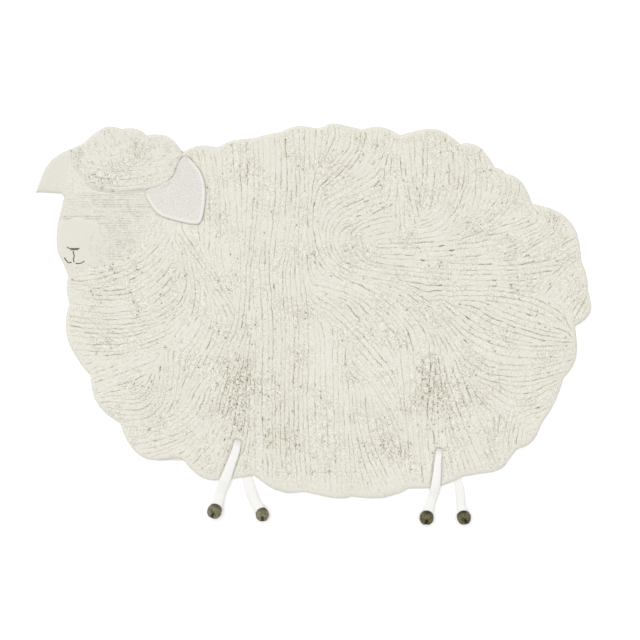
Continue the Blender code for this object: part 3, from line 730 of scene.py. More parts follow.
def woolSurface(points, height):
    # heights of long pile at plan points, how much painted shade each gets (in the furrows, and where a tuft
    # is cut low), and how loose its tuft
    inward, rise = roundedEdge(points, (pile["face"] + 0.6) / height, relief["seamRadius"])
    opened, gap = fleeceFurrows.nearest(points)
    calm = 1 - relief["calm"] * clamped((relief["calmTop"] - points[:, 1]) / relief["fade"])
    opened = opened * clamped(inward * 1.6 - 0.35) * calm
    ruffle, loose = ruffleAt(points), loosenessAt(points) * clamped(inward * 1.5 - 0.3) * calm
    notch = np.exp(-(gap / relief["notchWidth"]) ** 2) * opened
    crown = (1 - np.minimum(gap / (0.48 * pile["pitch"]), 1.0)) ** 2 * np.clip(opened * 1.4, 0.2, 1.0)
    top = height * rise + relief["swellHeight"] * grainsAt(points, relief["swellSize"], 5.0) * inward
    top += relief["tuftHeight"] * (0.35 + 0.65 * loose) * grainsAt(points, relief["tuftSize"], 2.0)
    top += relief["ruffleHeight"] * ruffle * grainsAt(points, relief["ruffleSize"], 9.0)
    top -= relief["crown"] * crown + relief["notch"] * notch * (1 + 0.3 * ruffle)
    cut = unevenAt(points) * np.clip(inward * 1.5, 0.3, 1.0)
    top += relief["jitter"] * cut * (0.45 + 0.9 * loose + 0.9 * ruffle)
    # painted shade: in the narrow gaps between rows, and where a tuft is cut lower than its neighbours
    shade = notch + np.clip(-cut * 0.12, -0.1, 0.5) * (0.4 + loose + ruffle)
    return np.minimum(top, pressedBy(points)), shade, 0.25 + 0.75 * loose


# What lies on the pile presses it down: the seat, the height left there and the slope beside it.
pressed = [(earSeat, 13.7, 3.2), *((trough, 10.7, 2.0) for trough in troughs)]
press = dict(reach=12.0, openHeight=99.0, rootReach=14.0, rootSlope=2.6)


def pressedBy(points):
    limit = np.full(len(points), press["openHeight"])
    for edge, height, slope in pressed:
        box = ((points > edge.min(0) - press["reach"]) & (points < edge.max(0) + press["reach"])).all(1)
        if not box.any():
            continue
        gap = gapTo(edge, points[box], closed=True)
        gap[isInside(points[box], edge)] = 0.0
        if edge is earSeat:                   # the top-knot stands close against the sewn root of the ear
            atRoot = gapTo(earRoot, points[box]) < press["rootReach"]
            atRoot &= ~isInside(points[box], earLoop)
            gap[atRoot] = gapTo(earLoop, points[box], closed=True)[atRoot] * press["rootSlope"]
        limit[box] = np.minimum(limit[box], height + slope * gap)
    return limit


def crowd(loop, lines, candidates):
    # plan points for a mesh: the loop, the lines inside it and the candidates that find room
    near = NearPoints(8.0)
    points = [*loop]
    edges = [(k, (k + 1) % len(loop)) for k in range(len(loop))]
    for line in lines:
        edges += [(len(points) + k, len(points) + k + 1) for k in range(len(line) - 1)]
        points += [*line]
    for point in points:
        near.add(point)
    for places, room in candidates:
        places = places[isInside(places, loop)]
        for point in places:
            if near.distance(point) > room:
                near.add(point)
                points.append(point)
    return np.array(points), edges


def pileBody(name, loop, lines, candidates, surface, material, foot=None, tuck=0.0, allSoft=False):
    # a closed body of wool over a closed loop: a lumpy top, a wall and a flat underside
    points, edges = crowd(loop, lines, candidates)
    flat = [Vector((float(x), float(y))) for x, y in points]
    rim = list(range(len(loop)))
    places, _, faces, _, _, _ = delaunay_2d_cdt(flat, edges, [rim[::-1]], 1, 1e-4)
    places = np.array([(p.x, p.y) for p in places])
    tops, paintedLights, looses = surface(places)
    bm = bmesh.new()
    # painted light for the finish, kept on each vertex: painted shade in furrows and gaps, and on the ear a
    # painted highlight along its rim
    paintedLightLayer = bm.verts.layers.float.new("paintedLight")
    looseLayer = bm.verts.layers.float.new("loose")
    for (x, y), top, paintedLight, loose in zip(places, tops, paintedLights, looses):
        vert = bm.verts.new(((x + planShift[0]) * mm, (y + planShift[1]) * mm, top * mm))
        vert[paintedLightLayer], vert[looseLayer] = paintedLight, loose
    bm.verts.ensure_lookup_table()
    for face in faces:
        bm.faces.new([bm.verts[i] for i in face])
    bmesh.ops.recalc_face_normals(bm, faces=bm.faces)
    if sum(face.normal.z for face in bm.faces) < 0:
        bmesh.ops.reverse_faces(bm, faces=bm.faces)
    border = [edge for edge in bm.edges if edge.is_boundary]
    for edge in border:                       # crisp where two bodies of wool meet, soft at the clipped edge
        x, y = (edge.verts[0].co + edge.verts[1].co).xy / 2 / mm - Vector(planShift)
        edge.smooth = allSoft or outlineTree.find((x, y, 0.0))[2] < 0.6
    wall = bmesh.ops.extrude_edge_only(bm, edges=border)["geom"]
    middle = Vector((*((loop.min(0) + loop.max(0)) / 2 + planShift), 0.0)) * mm
    for vert in (v for v in wall if isinstance(v, bmesh.types.BMVert)):
        vert.co += (middle - vert.co).normalized() * tuck * mm
        vert.co.z = (pile["root"] if foot is None else foot) * mm
    hem = [e for e in wall if isinstance(e, bmesh.types.BMEdge) and e.is_boundary]
    bmesh.ops.triangle_fill(bm, edges=hem, use_beauty=True)
    bmesh.ops.recalc_face_normals(bm, faces=bm.faces)
    piece = madeObject(name, bm, material)
    print(name, len(piece.data.polygons), "faces")
    return piece


def madeObject(name, bm, material):
    mesh = bpy.data.meshes.new(name)
    bm.to_mesh(mesh)
    bm.free()
    mesh.materials.append(material)
    mesh.shade_smooth()
    piece = bpy.data.objects.new(name, mesh)
    bpy.context.scene.collection.objects.link(piece)
    return piece


def insetRings(loop, insets):
    # rings of points inside a clockwise loop, for the rounded edge
    inward = -sideways(loop, closed=True)
    return [(loop + inward * inset, inset * 0.72) for inset in insets]


def rowCandidates(rows):
    # points beside each furrow, then the crests between them
    spacings = ((0.9, 0.75), (2.2, 1.2), (3.9, 1.6), (5.8, 1.9), (7.4, 2.2))
    return [(beside(rows, sign * offset), room) for offset, room in spacings for sign in (1.0, -1.0)]


def clippedTo(rows, loop):
    # the parts of the rows that lie inside a loop, just clear of it
    border = nearestIn(filledIn(loop, 1.5, closed=True))
    found = []
    for row in rows:
        kept = isInside(row, loop)
        if kept.any():
            kept &= distancesTo(border, row) > 1.6
            found += keptRuns(row, kept, 1)
    return found


def gridOver(loop, spacing):
    # open triangular grid of plan points over a loop
    low, high = loop.min(0), loop.max(0)
    grid = []
    for number, y in enumerate(np.arange(low[1], high[1], spacing * math.sqrt(3) / 2)):
        x = np.arange(low[0] + (number % 2) * spacing / 2, high[0], spacing)
        grid.append(np.stack([x, np.full(len(x), y)], axis=1))
    return np.concatenate(grid)


def longPileBody(name, loop, rows, height, material):
    inside = clippedTo(rows, loop)
    low, high = loop.min(0) - 20, loop.max(0) + 20
    gaps = [filledIn(stroke, 2.0) for stroke in (*gapStrokes, *nicks)
            if (stroke[0] > low).all() and (stroke[0] < high).all()]
    candidates = insetRings(loop, (2.2, 5.0, 9.0)) + [(np.concatenate(gaps), 0.9)]
    candidates += [(beside(gaps, offset), 0.75) for offset in (0.9, -0.9)]
    candidates += rowCandidates(inside)
    candidates += [(filledIn(edge, 2.5, closed=True), 1.5) for edge in (earSeat, *troughs)]
    candidates.append((gridOver(loop, 5.0), 3.2))
    return pileBody(name, loop, inside, candidates, lambda p: woolSurface(p, height), material)


class Wire:  # a node's output that takes part in sums

    def __init__(self, finish, socket):
        self.finish, self.socket = finish, socket

    def sum(self, operation, other, **settings):
        return self.finish.node("ShaderNodeMath", dict(operation=operation, **settings), self, other)

    def __add__(self, other):
        return self.sum("ADD", other)

    def __sub__(self, other):
        return self.sum("SUBTRACT", other)

    def __mul__(self, other):
        return self.sum("MULTIPLY", other)

    def clipped(self):
        return self.sum("ADD", 0.0, use_clamp=True)


class Finish:  # a material and its nodes

    def __init__(self, name, **constants):
        self.material = bpy.data.materials.new(name)
        self.material.use_nodes = True
        self.tree = self.material.node_tree
        self.shader = self.tree.nodes["Principled BSDF"]
        for socket, value in constants.items():
            self.shader.inputs[socket.replace("_", " ")].default_value = value

    def feed(self, socket, value):
        if isinstance(value, Wire):
            self.tree.links.new(value.socket, socket)
        else:
            socket.default_value = value

    def node(self, kind, settings, *values, output=0, **named):
        node = self.tree.nodes.new(kind)
        for setting, value in settings.items():
            setattr(node, setting, value)
        for socket, value in zip(node.inputs, values):
            self.feed(socket, value)
        for socket, value in named.items():
            self.feed(node.inputs[socket.replace("_", " ")], value)
        return Wire(self, node.outputs[output])

    def places(self):
        return self.node("ShaderNodeTexCoord", {}, output="Object")

    def noise(self, places, size, detail=2.0, rough=0.5):
        # noise with lumps of a size in millimetres, from 0 to 1
        return self.node("ShaderNodeTexNoise", {}, Vector=places, Scale=1000.0 / size,
                         Detail=detail, Roughness=rough)

    def attribute(self, name):
        return self.node("ShaderNodeAttribute", dict(attribute_name=name), output="Fac")

    def blend(self, factor, first, second):
        node = self.tree.nodes.new("ShaderNodeMix")
        node.data_type = "RGBA"
        self.feed(node.inputs[0], factor)
        self.feed(node.inputs[6], first)
        self.feed(node.inputs[7], second)
        return Wire(self, node.outputs[2])

    def colour(self, wire):
        self.feed(self.shader.inputs["Base Color"], wire)

    def bumps(self, height, depthMm):
        bump = self.node("ShaderNodeBump", {}, Height=height, Distance=depthMm * mm, Strength=1.0)
        self.feed(self.shader.inputs["Normal"], bump)


def linear(*colour):
    # a colour as a screen shows it, from 0 to 255, as the shaders want it
    return tuple((c / 255 / 12.92 if c < 11 else ((c / 255 + 0.055) / 1.055) ** 2.4)
                 for c in colour) + (1.0,)


def woolFinish(name, light, shade, paintedLightColour, tuft, grainy=4.9, deepestPaintedShade=None):
    # undyed wool: fibres, tufts and slow changes of tone. A vertex value blends in painted light: painted
    # shade, darker and warmer, in the furrows and gaps, the darkest painted shade in the deepest of them, and
    # on the ear a painted highlight along its rim
    wool = Finish(name, Roughness=0.95, Sheen_Weight=0.15, Sheen_Roughness=0.5, Specular_IOR_Level=0.15)
    places = wool.places()
    slow = wool.noise(places, 160.0)
    tufts = wool.noise(places, tuft, 3.0, 0.6)
    fibres = wool.noise(places, 1.4, 2.0, 0.6)
    specks = wool.noise(places, 3.6, 1.0, 0.5)
    grains = (tufts - 0.5) * 0.7 + (specks - 0.5) * grainy
    tone = (slow * 0.4 + (fibres - 0.5) * 0.3 + grains * wool.attribute("loose") + 0.38).clipped()
    paintedLight = wool.attribute("paintedLight")
    body = wool.blend(tone, linear(*shade), linear(*light))
    # painted shade in the furrows (on the ear a painted highlight on its rim), then the darkest painted shade
    # where the value passes 0.95
    closed = wool.blend((paintedLight * 1.1).clipped(), body, linear(*paintedLightColour))
    wool.colour(wool.blend(((paintedLight - 0.95) * 2.2).clipped(), closed, linear(*(deepestPaintedShade or paintedLightColour))))
    wool.bumps(tufts * 0.6 + fibres * 0.4, 2.2)
    return wool.material


# Painted shade at the bottom of the deepest gaps. The third colour of each wool is the painted shade in its
# furrows.
paintedDeepShade = (104, 97, 68)
fleeceWool = woolFinish("creamFleece", (234, 232, 223), (208, 205, 191), (170, 162, 132), 5.0,
                        deepestPaintedShade=paintedDeepShade)
topknotWool = woolFinish("topknotFleece", (233, 231, 223), (207, 204, 191), (170, 163, 136), 5.0,
                         deepestPaintedShade=paintedDeepShade)
faceWool = woolFinish("croppedWool", (230, 227, 218), (211, 208, 197), (172, 167, 149), 5.0, 4.0)

# The fleece is made in five bodies, side by side. They meet in lines from the back to the belly.
partings = (
    ((-290, 546), (-300, 300), (-330, 0), (-342, -250), (-334, -457)),
    ((-43, 603), (-20, 400), (-30, 190), (-28, -140), (-12, -510)),
    ((232, 586), (240, 300), (256, 0), (232, -250), (216, -511)),
    ((500, 520), (512, 250), (506, 0), (486, -250), (474, -462)),
)
partingLines, tops, bottoms = [], [], []
for parting in partings:
    line = smoothLine(parting, 2.5)
    tops.append(int(np.linalg.norm(outline - line[0], axis=1).argmin()))
    bottoms.append(int(np.linalg.norm(outline - line[-1], axis=1).argmin()))
    partingLines.append(line[1:-1])
fleeceLoops = [np.concatenate([outline[bottoms[0]:jawStart], jawSeam[::-1][1:], earSeam[:-1],
                               outline[:tops[0] + 1], partingLines[0]])]
for k in range(3):
    fleeceLoops.append(np.concatenate([outline[tops[k]:tops[k + 1] + 1], partingLines[k + 1],
                                       outline[bottoms[k + 1]:bottoms[k] + 1], partingLines[k][::-1]]))
fleeceLoops.append(np.concatenate([outline[tops[3]:bottoms[3] + 1], partingLines[3][::-1]]))
bodyNames = ("fleece_chest", "fleece_shoulder", "fleece_belly", "fleece_flank", "fleece_haunch")
rugPieces = [longPileBody(name, loop, rows, pile["fleece"], fleeceWool)
             for name, loop in zip(bodyNames, fleeceLoops)]
rugPieces.append(longPileBody("topknot", topknotLoop, rows, pile["topknot"], topknotWool))


face = dict(pitch=7.2, top=404, bottom=150, left=-800, right=-480, sway=1.6, swaySize=30.0, clearance=5.0,
            notch=1.9, notchWidth=0.85, jitter=0.3, soften=16.0, ticks=320, partedShare=0.55,
            cheek=(-590, 262), cheekReach=48, cheekLeft=-672)
farEarRoot = np.array(((-734, 486), (-744, 440), (-756, 396)), float)


def fromMuzzle(points):
    # 1 at the edge of the muzzle, less inside it
    return np.hypot((points[:, 0] - muzzle["x"]) / muzzle["halfWidth"],
                    (points[:, 1] - muzzle["y"]) / muzzle["halfHeight"])


def faceRows():
    # fine level furrows over the face, left out over the muzzle
    found = []
    for y in np.arange(face["bottom"], face["top"], face["pitch"]):
        x = np.arange(face["left"], face["right"], 5.0)
        line = np.stack([x, np.full(len(x), y)], axis=1)
        line[:, 1] += face["sway"] * grainsAt(line, face["swaySize"], 60.0)
        kept = isInside(line, faceLoop) & ~isInside(line, earSeat) & (fromMuzzle(line) > 1.0)
        for tree in (outlineTree, seamTree):
            kept &= distancesTo(tree, line) > face["clearance"]
        found += keptRuns(line, kept, 2)
    return found


def faceSurface(points):
    # heights of the low pile, and the same two marks as the long pile has: painted shade in the fine furrows
    # and where tufts are cut low (the far ear and muzzle are also toned a little darker through it), and how
    # loose the tufts are
    inward, rise = roundedEdge(points, 0.93, 3.5)
    opened, gap = faceFurrows.nearest(points)
    farEar = clamped(gapTo(farEarRoot, points) / face["soften"]) * isInside(points, farEarRegion)
    onMuzzle = eased(clamped((1.1 - fromMuzzle(points)) / 0.25))
    height = pile["face"] + (pile["muzzle"] - pile["face"]) * onMuzzle
    height = height + (pile["farEar"] - pile["face"]) * farEar
    notch = np.exp(-(gap / face["notchWidth"]) ** 2) * opened * clamped(inward * 1.5 - 0.2)
    cut, smooth = unevenAt(points), np.maximum(onMuzzle, farEar)
    top = height * rise + 0.5 * grainsAt(points, 45.0, 71.0) - face["notch"] * notch
    top += face["jitter"] * cut * (1 - 0.7 * smooth)
    shade = 0.9 * notch + np.clip(-cut * 0.08, -0.05, 0.2) * (1 - smooth) + 0.07 * farEar + 0.04 * onMuzzle
    return np.minimum(top, pressedBy(points)), shade, 0.6 - 0.45 * onMuzzle - 0.25 * farEar


farEarRegion = np.array([*farEarRoot, (-900, 396), (-900, 700), (-734, 700)], float)
faceLines = faceRows()
faceTicks = []
while len(faceTicks) < face["ticks"]:         # the short level and upright gaps of the cheek
    spot = draw.normal(face["cheek"], (face["cheekReach"], face["cheekReach"]))
    if isInside(spot, faceLoop)[0] and spot[0] > face["cheekLeft"] + draw.normal(0.0, 12.0):
        level = draw.uniform() < 0.6
        reach = np.array((draw.uniform(2.5, 6.0), 0.0) if level else (0.0, draw.uniform(1.5, 3.0)))
        faceTicks.append(np.array((spot - reach, spot, spot + reach)))
faceFurrows = Furrows()
faceFurrows.addRows(faceLines, 0.58, 0.4)
faceGapLines = []
for line in faceLines:                        # some level rows stand apart over part of their length
    if len(line) > 14 and draw.uniform() < face["partedShare"]:
        start = int(draw.uniform(0.0, 0.4) * len(line))
        faceGapLines.append(line[start:start + int(draw.uniform(0.35, 0.8) * len(line))])
faceFurrows.addStrokes(faceGapLines, draw.uniform(0.5, 0.9, len(faceGapLines)), 0.6)
faceFurrows.addStrokes(faceTicks, draw.uniform(0.15, 0.4, len(faceTicks)))
faceFurrows.ready()


def makeFace():
    gaps = np.concatenate([filledIn(line, 2.2) for line in faceGapLines] + faceTicks)
    candidates = insetRings(faceLoop, (2.0, 4.5)) + [(gaps, 1.0)]
    candidates += [(beside(faceLines, sign * offset), 1.1) for offset in (1.3, 3.6) for sign in (1.0, -1.0)]
    candidates.append((gridOver(faceLoop, 4.5), 2.8))
    return pileBody("face_and_far_ear", faceLoop, faceLines, candidates, faceSurface, faceWool)


rugPieces.append(makeFace())


def makeCanvas():
    # the woven cotton that the wool is tufted into, just inside the clipped edge
    bm = bmesh.new()
    rim = outline[::2] - 2.0 * sideways(outline[::2], closed=True)
    verts = [bm.verts.new(((x + planShift[0]) * mm, (y + planShift[1]) * mm, 0.0)) for x, y in rim]
    edges = [bm.edges.new((a, b)) for a, b in zip(verts, verts[1:] + verts[:1])]
    bmesh.ops.triangle_fill(bm, edges=edges, use_beauty=True)
    raised = bmesh.ops.extrude_face_region(bm, geom=list(bm.faces))["geom"]
    for vert in (v for v in raised if isinstance(v, bmesh.types.BMVert)):
        vert.co.z = pile["canvas"] * mm
    bmesh.ops.recalc_face_normals(bm, faces=bm.faces)
    cotton = Finish("wovenCanvas", Roughness=0.9)
    weave = cotton.node("ShaderNodeTexWave", dict(bands_direction="X"), Vector=cotton.places(), Scale=70.0)
    weft = cotton.node("ShaderNodeTexWave", dict(bands_direction="Y"), Vector=cotton.places(), Scale=70.0)
    over = (weave + weft) * 0.5
    cotton.colour(cotton.blend(over, linear(196, 188, 166), linear(222, 215, 196)))
    cotton.bumps(over, 0.5)
    return madeObject("canvas_backing", bm, cotton.material)


canvas = makeCanvas()
for piece in (*rugPieces, canvas):
    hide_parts("tufted_rug")
    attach(piece, "root")
wide, deep = (outline.max(0) - outline.min(0)) * mm
ahead = np.roll(outline, -1, axis=0)
sheetArea = abs(float((outline[:, 0] * ahead[:, 1] - ahead[:, 0] * outline[:, 1]).sum())) / 2 * mm * mm
print("sheet", round(wide, 4), round(deep, 4), round(sheetArea, 4))
print("rug")


ear = dict(base=14.3, thickness=9.0, rim=13.0, hollow=2.2, edgeShare=0.35, rootDip=3.0, rootReach=9.0,
           gather=0.7, gathers=22.0, gatherX=-385.0, gatherY=520.0, gatherReach=38.0,
           fold=1.3, foldWidth=5.0, jitter=0.12, crease=1.3, creaseWidth=1.1, thinnest=1.2)
earFold = np.array(((-419, 467), (-395, 447), (-370, 421)), float)
creaseLook = dict(count=9, x=-385.0, y=515.0, near=38.0, far=100.0, shortest=12.0, longest=30.0,
                  first=228.0, last=268.0, least=0.4, most=0.8)


def earCreaseLines():
    # short gather folds that fan out from the top of the ear, where its cloth is drawn together
    lines = []
    for number in range(creaseLook["count"]):
        share = (number + draw.uniform(0.2, 0.8)) / creaseLook["count"]
        angle = math.radians(creaseLook["first"] + (creaseLook["last"] - creaseLook["first"]) * share)
        start = draw.uniform(creaseLook["near"], creaseLook["far"])
        reach = np.array((start, start + draw.uniform(creaseLook["shortest"], creaseLook["longest"])))
        bent = angle + np.array((0.0, draw.normal(0.0, 0.04), draw.normal(0.0, 0.06)))
        away = np.array((reach[0], reach.mean(), reach[1]))
        line = np.stack([creaseLook["x"] + away * np.cos(bent), creaseLook["y"] + away * np.sin(bent)], axis=1)
        lines.append(smoothLine(line, 2.0))
    return lines


earCreases = earCreaseLines()
creases = Furrows()
creases.addStrokes(earCreases, draw.uniform(creaseLook["least"], creaseLook["most"], len(earCreases)), 0.5)
creases.ready()


def earSurface(points):
    # a rolled rim round a hollow panel, gathered where it is sewn down along its upper left edge
    gap = gapTo(earLoop, points, 1.0, closed=True)
    rootGap = gapTo(smoothLine(earRoot, 4.0), points, 1.0)
    foldGap = gapTo(earFold, points, 1.0)
    half = ear["rim"] / 2
    roll = np.sqrt(clamped(1 - (1 - np.minimum(gap / half, 1.0)) ** 2))
    inner = eased(clamped((gap - half) / half))
    atRoot = clamped(1 - rootGap / ear["rootReach"]) ** 1.5
    free = clamped((rootGap - 9.0) / 12.0)
    height = ear["thickness"] * (ear["edgeShare"] + (1 - ear["edgeShare"]) * roll) - ear["hollow"] * inner
    height -= ear["rootDip"] * atRoot
    angle = np.arctan2(points[:, 1] - ear["gatherY"], points[:, 0] - ear["gatherX"])
    gathers = np.sin(angle * ear["gathers"] + 2.0 * grainsAt(points, 30.0, 14.0))
    gathers = gathers * np.exp(-rootGap / ear["gatherReach"])
    height += ear["gather"] * gathers * clamped(rootGap / 6.0)
    height += ear["fold"] * np.exp(-(foldGap / ear["foldWidth"]) ** 2)
    height += 0.5 * grainsAt(points, 28.0, 33.0) + ear["jitter"] * draw.normal(0.0, 1.0, len(points))
    opened, creaseGap = creases.nearest(points)
    crease = opened * np.exp(-(creaseGap / ear["creaseWidth"]) ** 2)
    height -= ear["crease"] * crease
    # a painted highlight along the rolled rim, left off near the sewn root
    rim = (1 - inner) * free
    return ear["base"] + np.maximum(height, ear["thinnest"]), rim, 0.8 - 2.5 * crease


def makeNearEar():
    # the third colour is the painted highlight on the rolled rim
    cloth = woolFinish("earCloth", (226, 224, 217), (208, 206, 198), (230, 228, 223), 4.0, 4.2)
    candidates = insetRings(earLoop, (1.2, 2.8, 5.0, 7.5, 10.0))
    candidates.append((np.concatenate([filledIn(crease, 1.2) for crease in earCreases]), 0.8))
    candidates.append((gridOver(earLoop, 2.6), 1.5))
    loop = filledIn(earLoop, 2.2, closed=True)
    piece = pileBody("near_ear_flap", loop, [], candidates, earSurface, cloth,
                     foot=ear["base"], tuck=1.5, allSoft=True)
    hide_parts("near_ear")
    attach(piece, "root")
    return piece


makeNearEar()


Hoof = namedtuple("Hoof", "x y width length cleftDegrees")
hooves = {
    "near_front": Hoof(-300, -569, 44, 47, 245),
    "far_front": Hoof(-154, -579, 40, 43, 275),
    "near_rear": Hoof(346, -589, 43, 45, 262),
    "far_rear": Hoof(460, -588, 42, 45, 292),
}
hoofLook = dict(flat=0.8, cleft=0.24, cleftWidth=0.2, cleftStart=0.0, facet=0.96, lump=0.06, fibre=0.02)
legLook = dict(around=36, step=3.0, squareness=2.5, wrinkle=0.8, wrinkleSize=13.0, gather=0.7,
               flareLength=20.0, sleeve=1.2, gap=0.5, flare=0.9, skirt=5.0, open=3, roundEnd=13.0)


def rollGrid(bm, around, along, place):
    # a grid rolled up into a closed skin: its seam and its two ends are merged
    verts = bmesh.ops.create_grid(bm, x_segments=around, y_segments=along, size=0.5)["verts"]
    for vert in verts:
        k, j = round((vert.co.x + 0.5) * around) % around, round((vert.co.y + 0.5) * along)
        vert.co = Vector(place(k, j)) * mm
    bmesh.ops.remove_doubles(bm, verts=verts, dist=1e-7)


def marks(bm, lookAt):
    # how deep in shade and how loose the fibres are at each vertex, for the finish
    layers = [bm.verts.layers.float.new(name) for name in ("paintedLight", "loose")]
    for vert in bm.verts:
        x, y, z = vert.co / mm
        for layer, value in zip(layers, lookAt(x - planShift[0], y - planShift[1], z)):
            vert[layer] = value


def onBall(hoof, point):
    # a point in the ball's own frame, where the ball has a radius of one
    turn = math.radians(hoof.cleftDegrees)
    x, y, z = point[0] - hoof.x, point[1] - hoof.y, point[2] - (hoof.width / 2 - hoofLook["flat"])
    ahead, side = x * math.cos(turn) + y * math.sin(turn), y * math.cos(turn) - x * math.sin(turn)
    return Vector((ahead / (hoof.length / 2), side / (hoof.width / 2), z / (hoof.width / 2)))


def offBall(hoof, way):
    turn = math.radians(hoof.cleftDegrees)
    ahead, side = way.x * hoof.length / 2, way.y * hoof.width / 2
    return Vector((hoof.x + ahead * math.cos(turn) - side * math.sin(turn),
                   hoof.y + ahead * math.sin(turn) + side * math.cos(turn),
                   hoof.width / 2 - hoofLook["flat"] + way.z * hoof.width / 2))


def makeLeg(place, material):
    # a stuffed tube whose open end is sewn round the back of its hoof
    hoof = hooves[place]
    run = smoothLine(legs[place], legLook["step"])
    run = run[:max(2, len(run) - legLook["open"])]
    across = sideways(run[:, :2])
    toEnd = np.cumsum(np.linalg.norm(np.diff(run[:, :2], axis=0), axis=1)[::-1])[::-1]
    toEnd = np.append(toEnd, 0.0)
    seed = hoof.x * 0.1
    stations, capEnd = len(run), 4
    outer = 1 + legLook["sleeve"] / (hoof.width / 2)
    inner = 1 + legLook["gap"] / (hoof.width / 2)

    def skin(k, j):
        station = min(max(j - 2, 0), stations - 1)
        x, y, width, underside, thickness = run[station]
        side = across[station]
        angle = 2 * math.pi * (k + 0.5) / legLook["around"]
        cosine, sine = math.cos(angle), math.sin(angle)
        flare = max(0.0, 1 - toEnd[station] / legLook["flareLength"]) ** 1.6
        width += (hoof.width * legLook["flare"] - width) * flare
        fromTop = min(1.0, (j - 1) * legLook["step"] / legLook["roundEnd"]) if j > 1 else 0.0
        width *= 0.3 + 0.7 * math.sqrt(1 - (1 - fromTop) ** 2)
        fold = legLook["wrinkle"] * grain((x + cosine * 9, y + sine * 9), legLook["wrinkleSize"], seed)
        fold += legLook["gather"] * math.sin(angle * 9 + seed) * flare
        share = 2 / legLook["squareness"]
        wide = math.copysign(abs(cosine) ** share, cosine) * (width / 2 + fold)
        high = math.copysign(abs(sine) ** share, sine) * (thickness / 2 + fold * 0.6)
        closing = (0.0, 0.7)[j] if j < 2 else 1.0
        skirt = legLook["skirt"] * flare * abs(cosine) ** 3
        point = Vector((x + side[0] * wide * closing + side[1] * skirt,
                        y + side[1] * wide * closing - side[0] * skirt,
                        max(0.1, underside + thickness / 2 + high * closing)))
        way = onBall(hoof, point)
        if way.length < outer:
            point = offBall(hoof, way.normalized() * outer)
        if j >= stations + 2:
            back = onBall(hoof, (run[-3][0], run[-3][1], underside + thickness / 2)).normalized()
            t = (j - stations - 1.6) / (capEnd - 0.6)
            t = 1.0 if j == stations + 1 + capEnd else t * 0.9
            way = (onBall(hoof, point).normalized() * (1 - t) + back * t).normalized()
            point = offBall(hoof, way * inner)
        point.z = max(0.1, point.z)
        return point[0] + planShift[0], point[1] + planShift[1], point[2]

    bm = bmesh.new()
    rollGrid(bm, legLook["around"], stations + 1 + capEnd, skin)
    # painted shade where the sewn top end of the leg sinks into the pile
    marks(bm, lambda x, y, z: (0.95 * max(0.0, 1 - math.hypot(x - run[0][0], y - run[0][1]) / 22.0), 0.5))
    bmesh.ops.recalc_face_normals(bm, faces=bm.faces)
    piece = madeObject(place + "_leg", bm, material)
    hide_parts("leg_" + place)
    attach(piece, "root")
    return piece


def makeHoof(place, material):
    # a ball of felted wool, a little angular, with a cleft cut into its far side
    hoof = hooves[place]
    bm = bmesh.new()
    bmesh.ops.create_icosphere(bm, subdivisions=6, radius=1.0)
    paintedLightLayer, looseLayer = (bm.verts.layers.float.new(name) for name in ("paintedLight", "loose"))
    planes = [Vector(way).normalized() for way in draw.normal(0.0, 1.0, (9, 3))]
    for vert in bm.verts:
        way = vert.co.normalized()
        radius = min([1.0] + [hoofLook["facet"] / max(way @ plane, 0.01) for plane in planes])
        radius = 0.35 + 0.65 * radius
        groove = math.exp(-(way.y / hoofLook["cleftWidth"]) ** 2)
        groove *= min(1.0, max(0.0, (way.x - hoofLook["cleftStart"]) / 0.35))
        lump = grain((way.x * 22, way.y * 22 + hoof.x), 14.0, way.z * 1.6)
        radius += hoofLook["lump"] * lump - hoofLook["cleft"] * groove * min(1.0, 0.25 + max(0.0, way.z) * 2.0)
        radius += hoofLook["fibre"] * noise.noise(way * 14.0)
        # painted shade in the cleft and in the dips between lumps, and a painted shadow along the back under
        # the leg's collar
        vert[paintedLightLayer] = 1.4 * groove + max(0.0, -lump) * 0.6 + 0.5 * min(1.0, max(0.0, -0.45 - way.x) / 0.4)
        vert[looseLayer] = 1.0
        point = offBall(hoof, way * radius)
        vert.co = Vector((point.x + planShift[0], point.y + planShift[1], max(0.0, point.z))) * mm
    piece = madeObject(place + "_hoof", bm, material)
    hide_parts("hoof_" + place)
    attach(piece, "root")
    return piece


# the third colour of the leg cotton is the painted shade at its sewn top
legCotton = woolFinish("legCotton", (239, 238, 235), (230, 229, 225), (212, 209, 200), 6.0, 1.2)
# the third colour of each felt is its painted shade and shadow
frontFelt = woolFinish("frontHoofFelt", (146, 140, 116), (92, 89, 64), (50, 46, 28), 6.0, 3.0)
rearFelt = woolFinish("rearHoofFelt", (119, 114, 83), (68, 65, 40), (16, 14, 6), 6.0, 3.0)
for place in legs:
    makeLeg(place, legCotton)
    makeHoof(place, frontFelt if "front" in place else rearFelt)
print("legs and hooves")


stitchLook = dict(thick=3.0, length=7.5, arch=1.0, surface=14.2, sunk=0.6, stray=0.25)
faceStitches = (                              # centre lines over the muzzle
    ((-750, 237), (-743, 232), (-713, 232)),                            # nose, upper
    ((-741, 228), (-728, 228), (-717, 229)),                            # nose, lower
    ((-731, 225), (-731, 217), (-728, 208), (-731, 199), (-729, 190)),  # lip
    ((-759, 204), (-753, 195), (-745, 189), (-736, 190)),               # mouth, left
    ((-724, 187), (-713, 186), (-703, 189), (-697, 193)),               # mouth, right
)


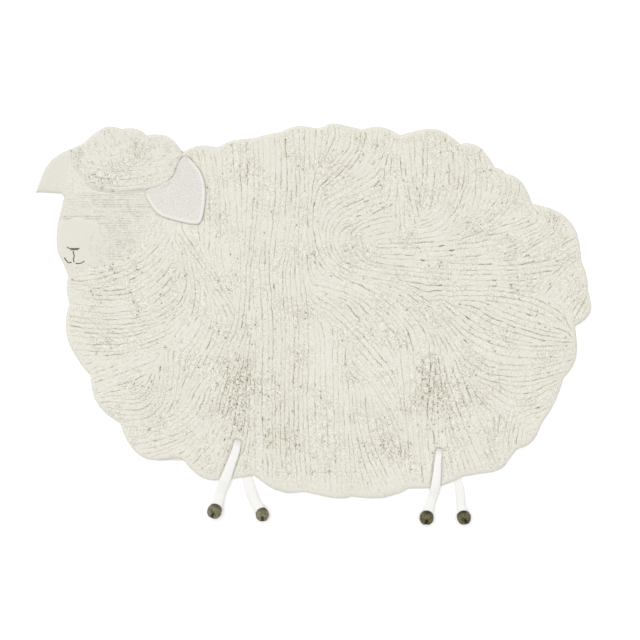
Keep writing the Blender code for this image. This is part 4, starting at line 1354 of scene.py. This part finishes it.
def makeStitches():
    bm = bmesh.new()
    for corners in faceStitches:
        line = filledIn(smoothLine(corners, 2.0), 0.8)
        run = np.cumsum(np.linalg.norm(np.diff(line, axis=0, prepend=line[:1]), axis=1))
        count = max(1, round(run[-1] / stitchLook["length"]))
        for number in range(count):
            start, end = run[-1] * number / count, run[-1] * (number + 1) / count
            t = np.linspace(0.0, 1.0, 9)
            at = start + (end - start) * t
            spots = np.stack([np.interp(at, run, line[:, axis]) for axis in (0, 1)], axis=1)
            spots += draw.normal(0.0, stitchLook["stray"], 2)
            across = sideways(spots)

            def thread(k, j, spots=spots, across=across):
                angle = 2 * math.pi * k / 8
                inside = min(max(j - 1, 0), 8)
                radius = 0.0 if j in (0, 10) else stitchLook["thick"] / 2
                lift = stitchLook["surface"] + stitchLook["arch"] * math.sin(math.pi * inside / 8)
                lift -= stitchLook["sunk"]
                side = across[inside] * math.cos(angle) * radius
                return (spots[inside][0] + side[0] + planShift[0], spots[inside][1] + side[1] + planShift[1],
                        lift + math.sin(angle) * radius)

            rollGrid(bm, 8, 10, thread)
    bmesh.ops.recalc_face_normals(bm, faces=bm.faces)
    thread = woolFinish("greyThread", (104, 101, 92), (80, 78, 70), (66, 64, 56), 2.0)
    piece = madeObject("face_stitches", bm, thread)
    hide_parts("tufted_rug")
    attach(piece, "root")
    return piece


makeStitches()


studio = dict(sky=0.63, sun=1.75, softness=70, at=(-0.7, 1.0, 4.0), floorGlow=0.08)
view = dict(pixel=3.06, wide=640, right=7.0, up=4.5,     # mm of rug to a pixel, and pixels off centre
            lens=85.0, sensor=36.0, clipEnd=50.0)


def makeStage():
    bm = bmesh.new()
    bmesh.ops.create_grid(bm, x_segments=1, y_segments=1, size=6.0)
    floorFinish = Finish("paleFloor", Roughness=0.9, Base_Color=linear(250, 250, 250),
                         Emission_Color=(1.0, 1.0, 1.0, 1.0), Emission_Strength=studio["floorGlow"])
    floor = madeObject("floor", bm, floorFinish.material)
    floor.location.z = -0.0005
    world = bpy.data.worlds.new("studio")
    world.use_nodes = True
    sky = world.node_tree.nodes["Background"].inputs
    sky["Color"].default_value = (1.0, 1.0, 1.0, 1.0)
    sky["Strength"].default_value = studio["sky"]
    bpy.context.scene.world = world
    lamp = bpy.data.lights.new("softbox", "SUN")
    lamp.angle = math.radians(studio["softness"])
    lamp.energy = studio["sun"]
    softbox = bpy.data.objects.new("softbox", lamp)
    softbox.location = studio["at"]
    softbox.rotation_euler = (-softbox.location).to_track_quat("-Z", "Y").to_euler()
    bpy.context.scene.collection.objects.link(softbox)
    bpy.context.scene.view_settings.view_transform = "Standard"


def makeCamera():
    lens = bpy.data.cameras.new("overhead")
    lens.lens, lens.sensor_width, lens.clip_end = view["lens"], view["sensor"], view["clipEnd"]
    camera = bpy.data.objects.new("overhead", lens)
    pixel = view["pixel"] * mm
    camera.location = (view["right"] * pixel + planShift[0] * mm, view["up"] * pixel + planShift[1] * mm,
                       view["wide"] * pixel * view["lens"] / view["sensor"])
    bpy.context.scene.collection.objects.link(camera)
    bpy.context.scene.camera = camera


makeStage()
makeCamera()
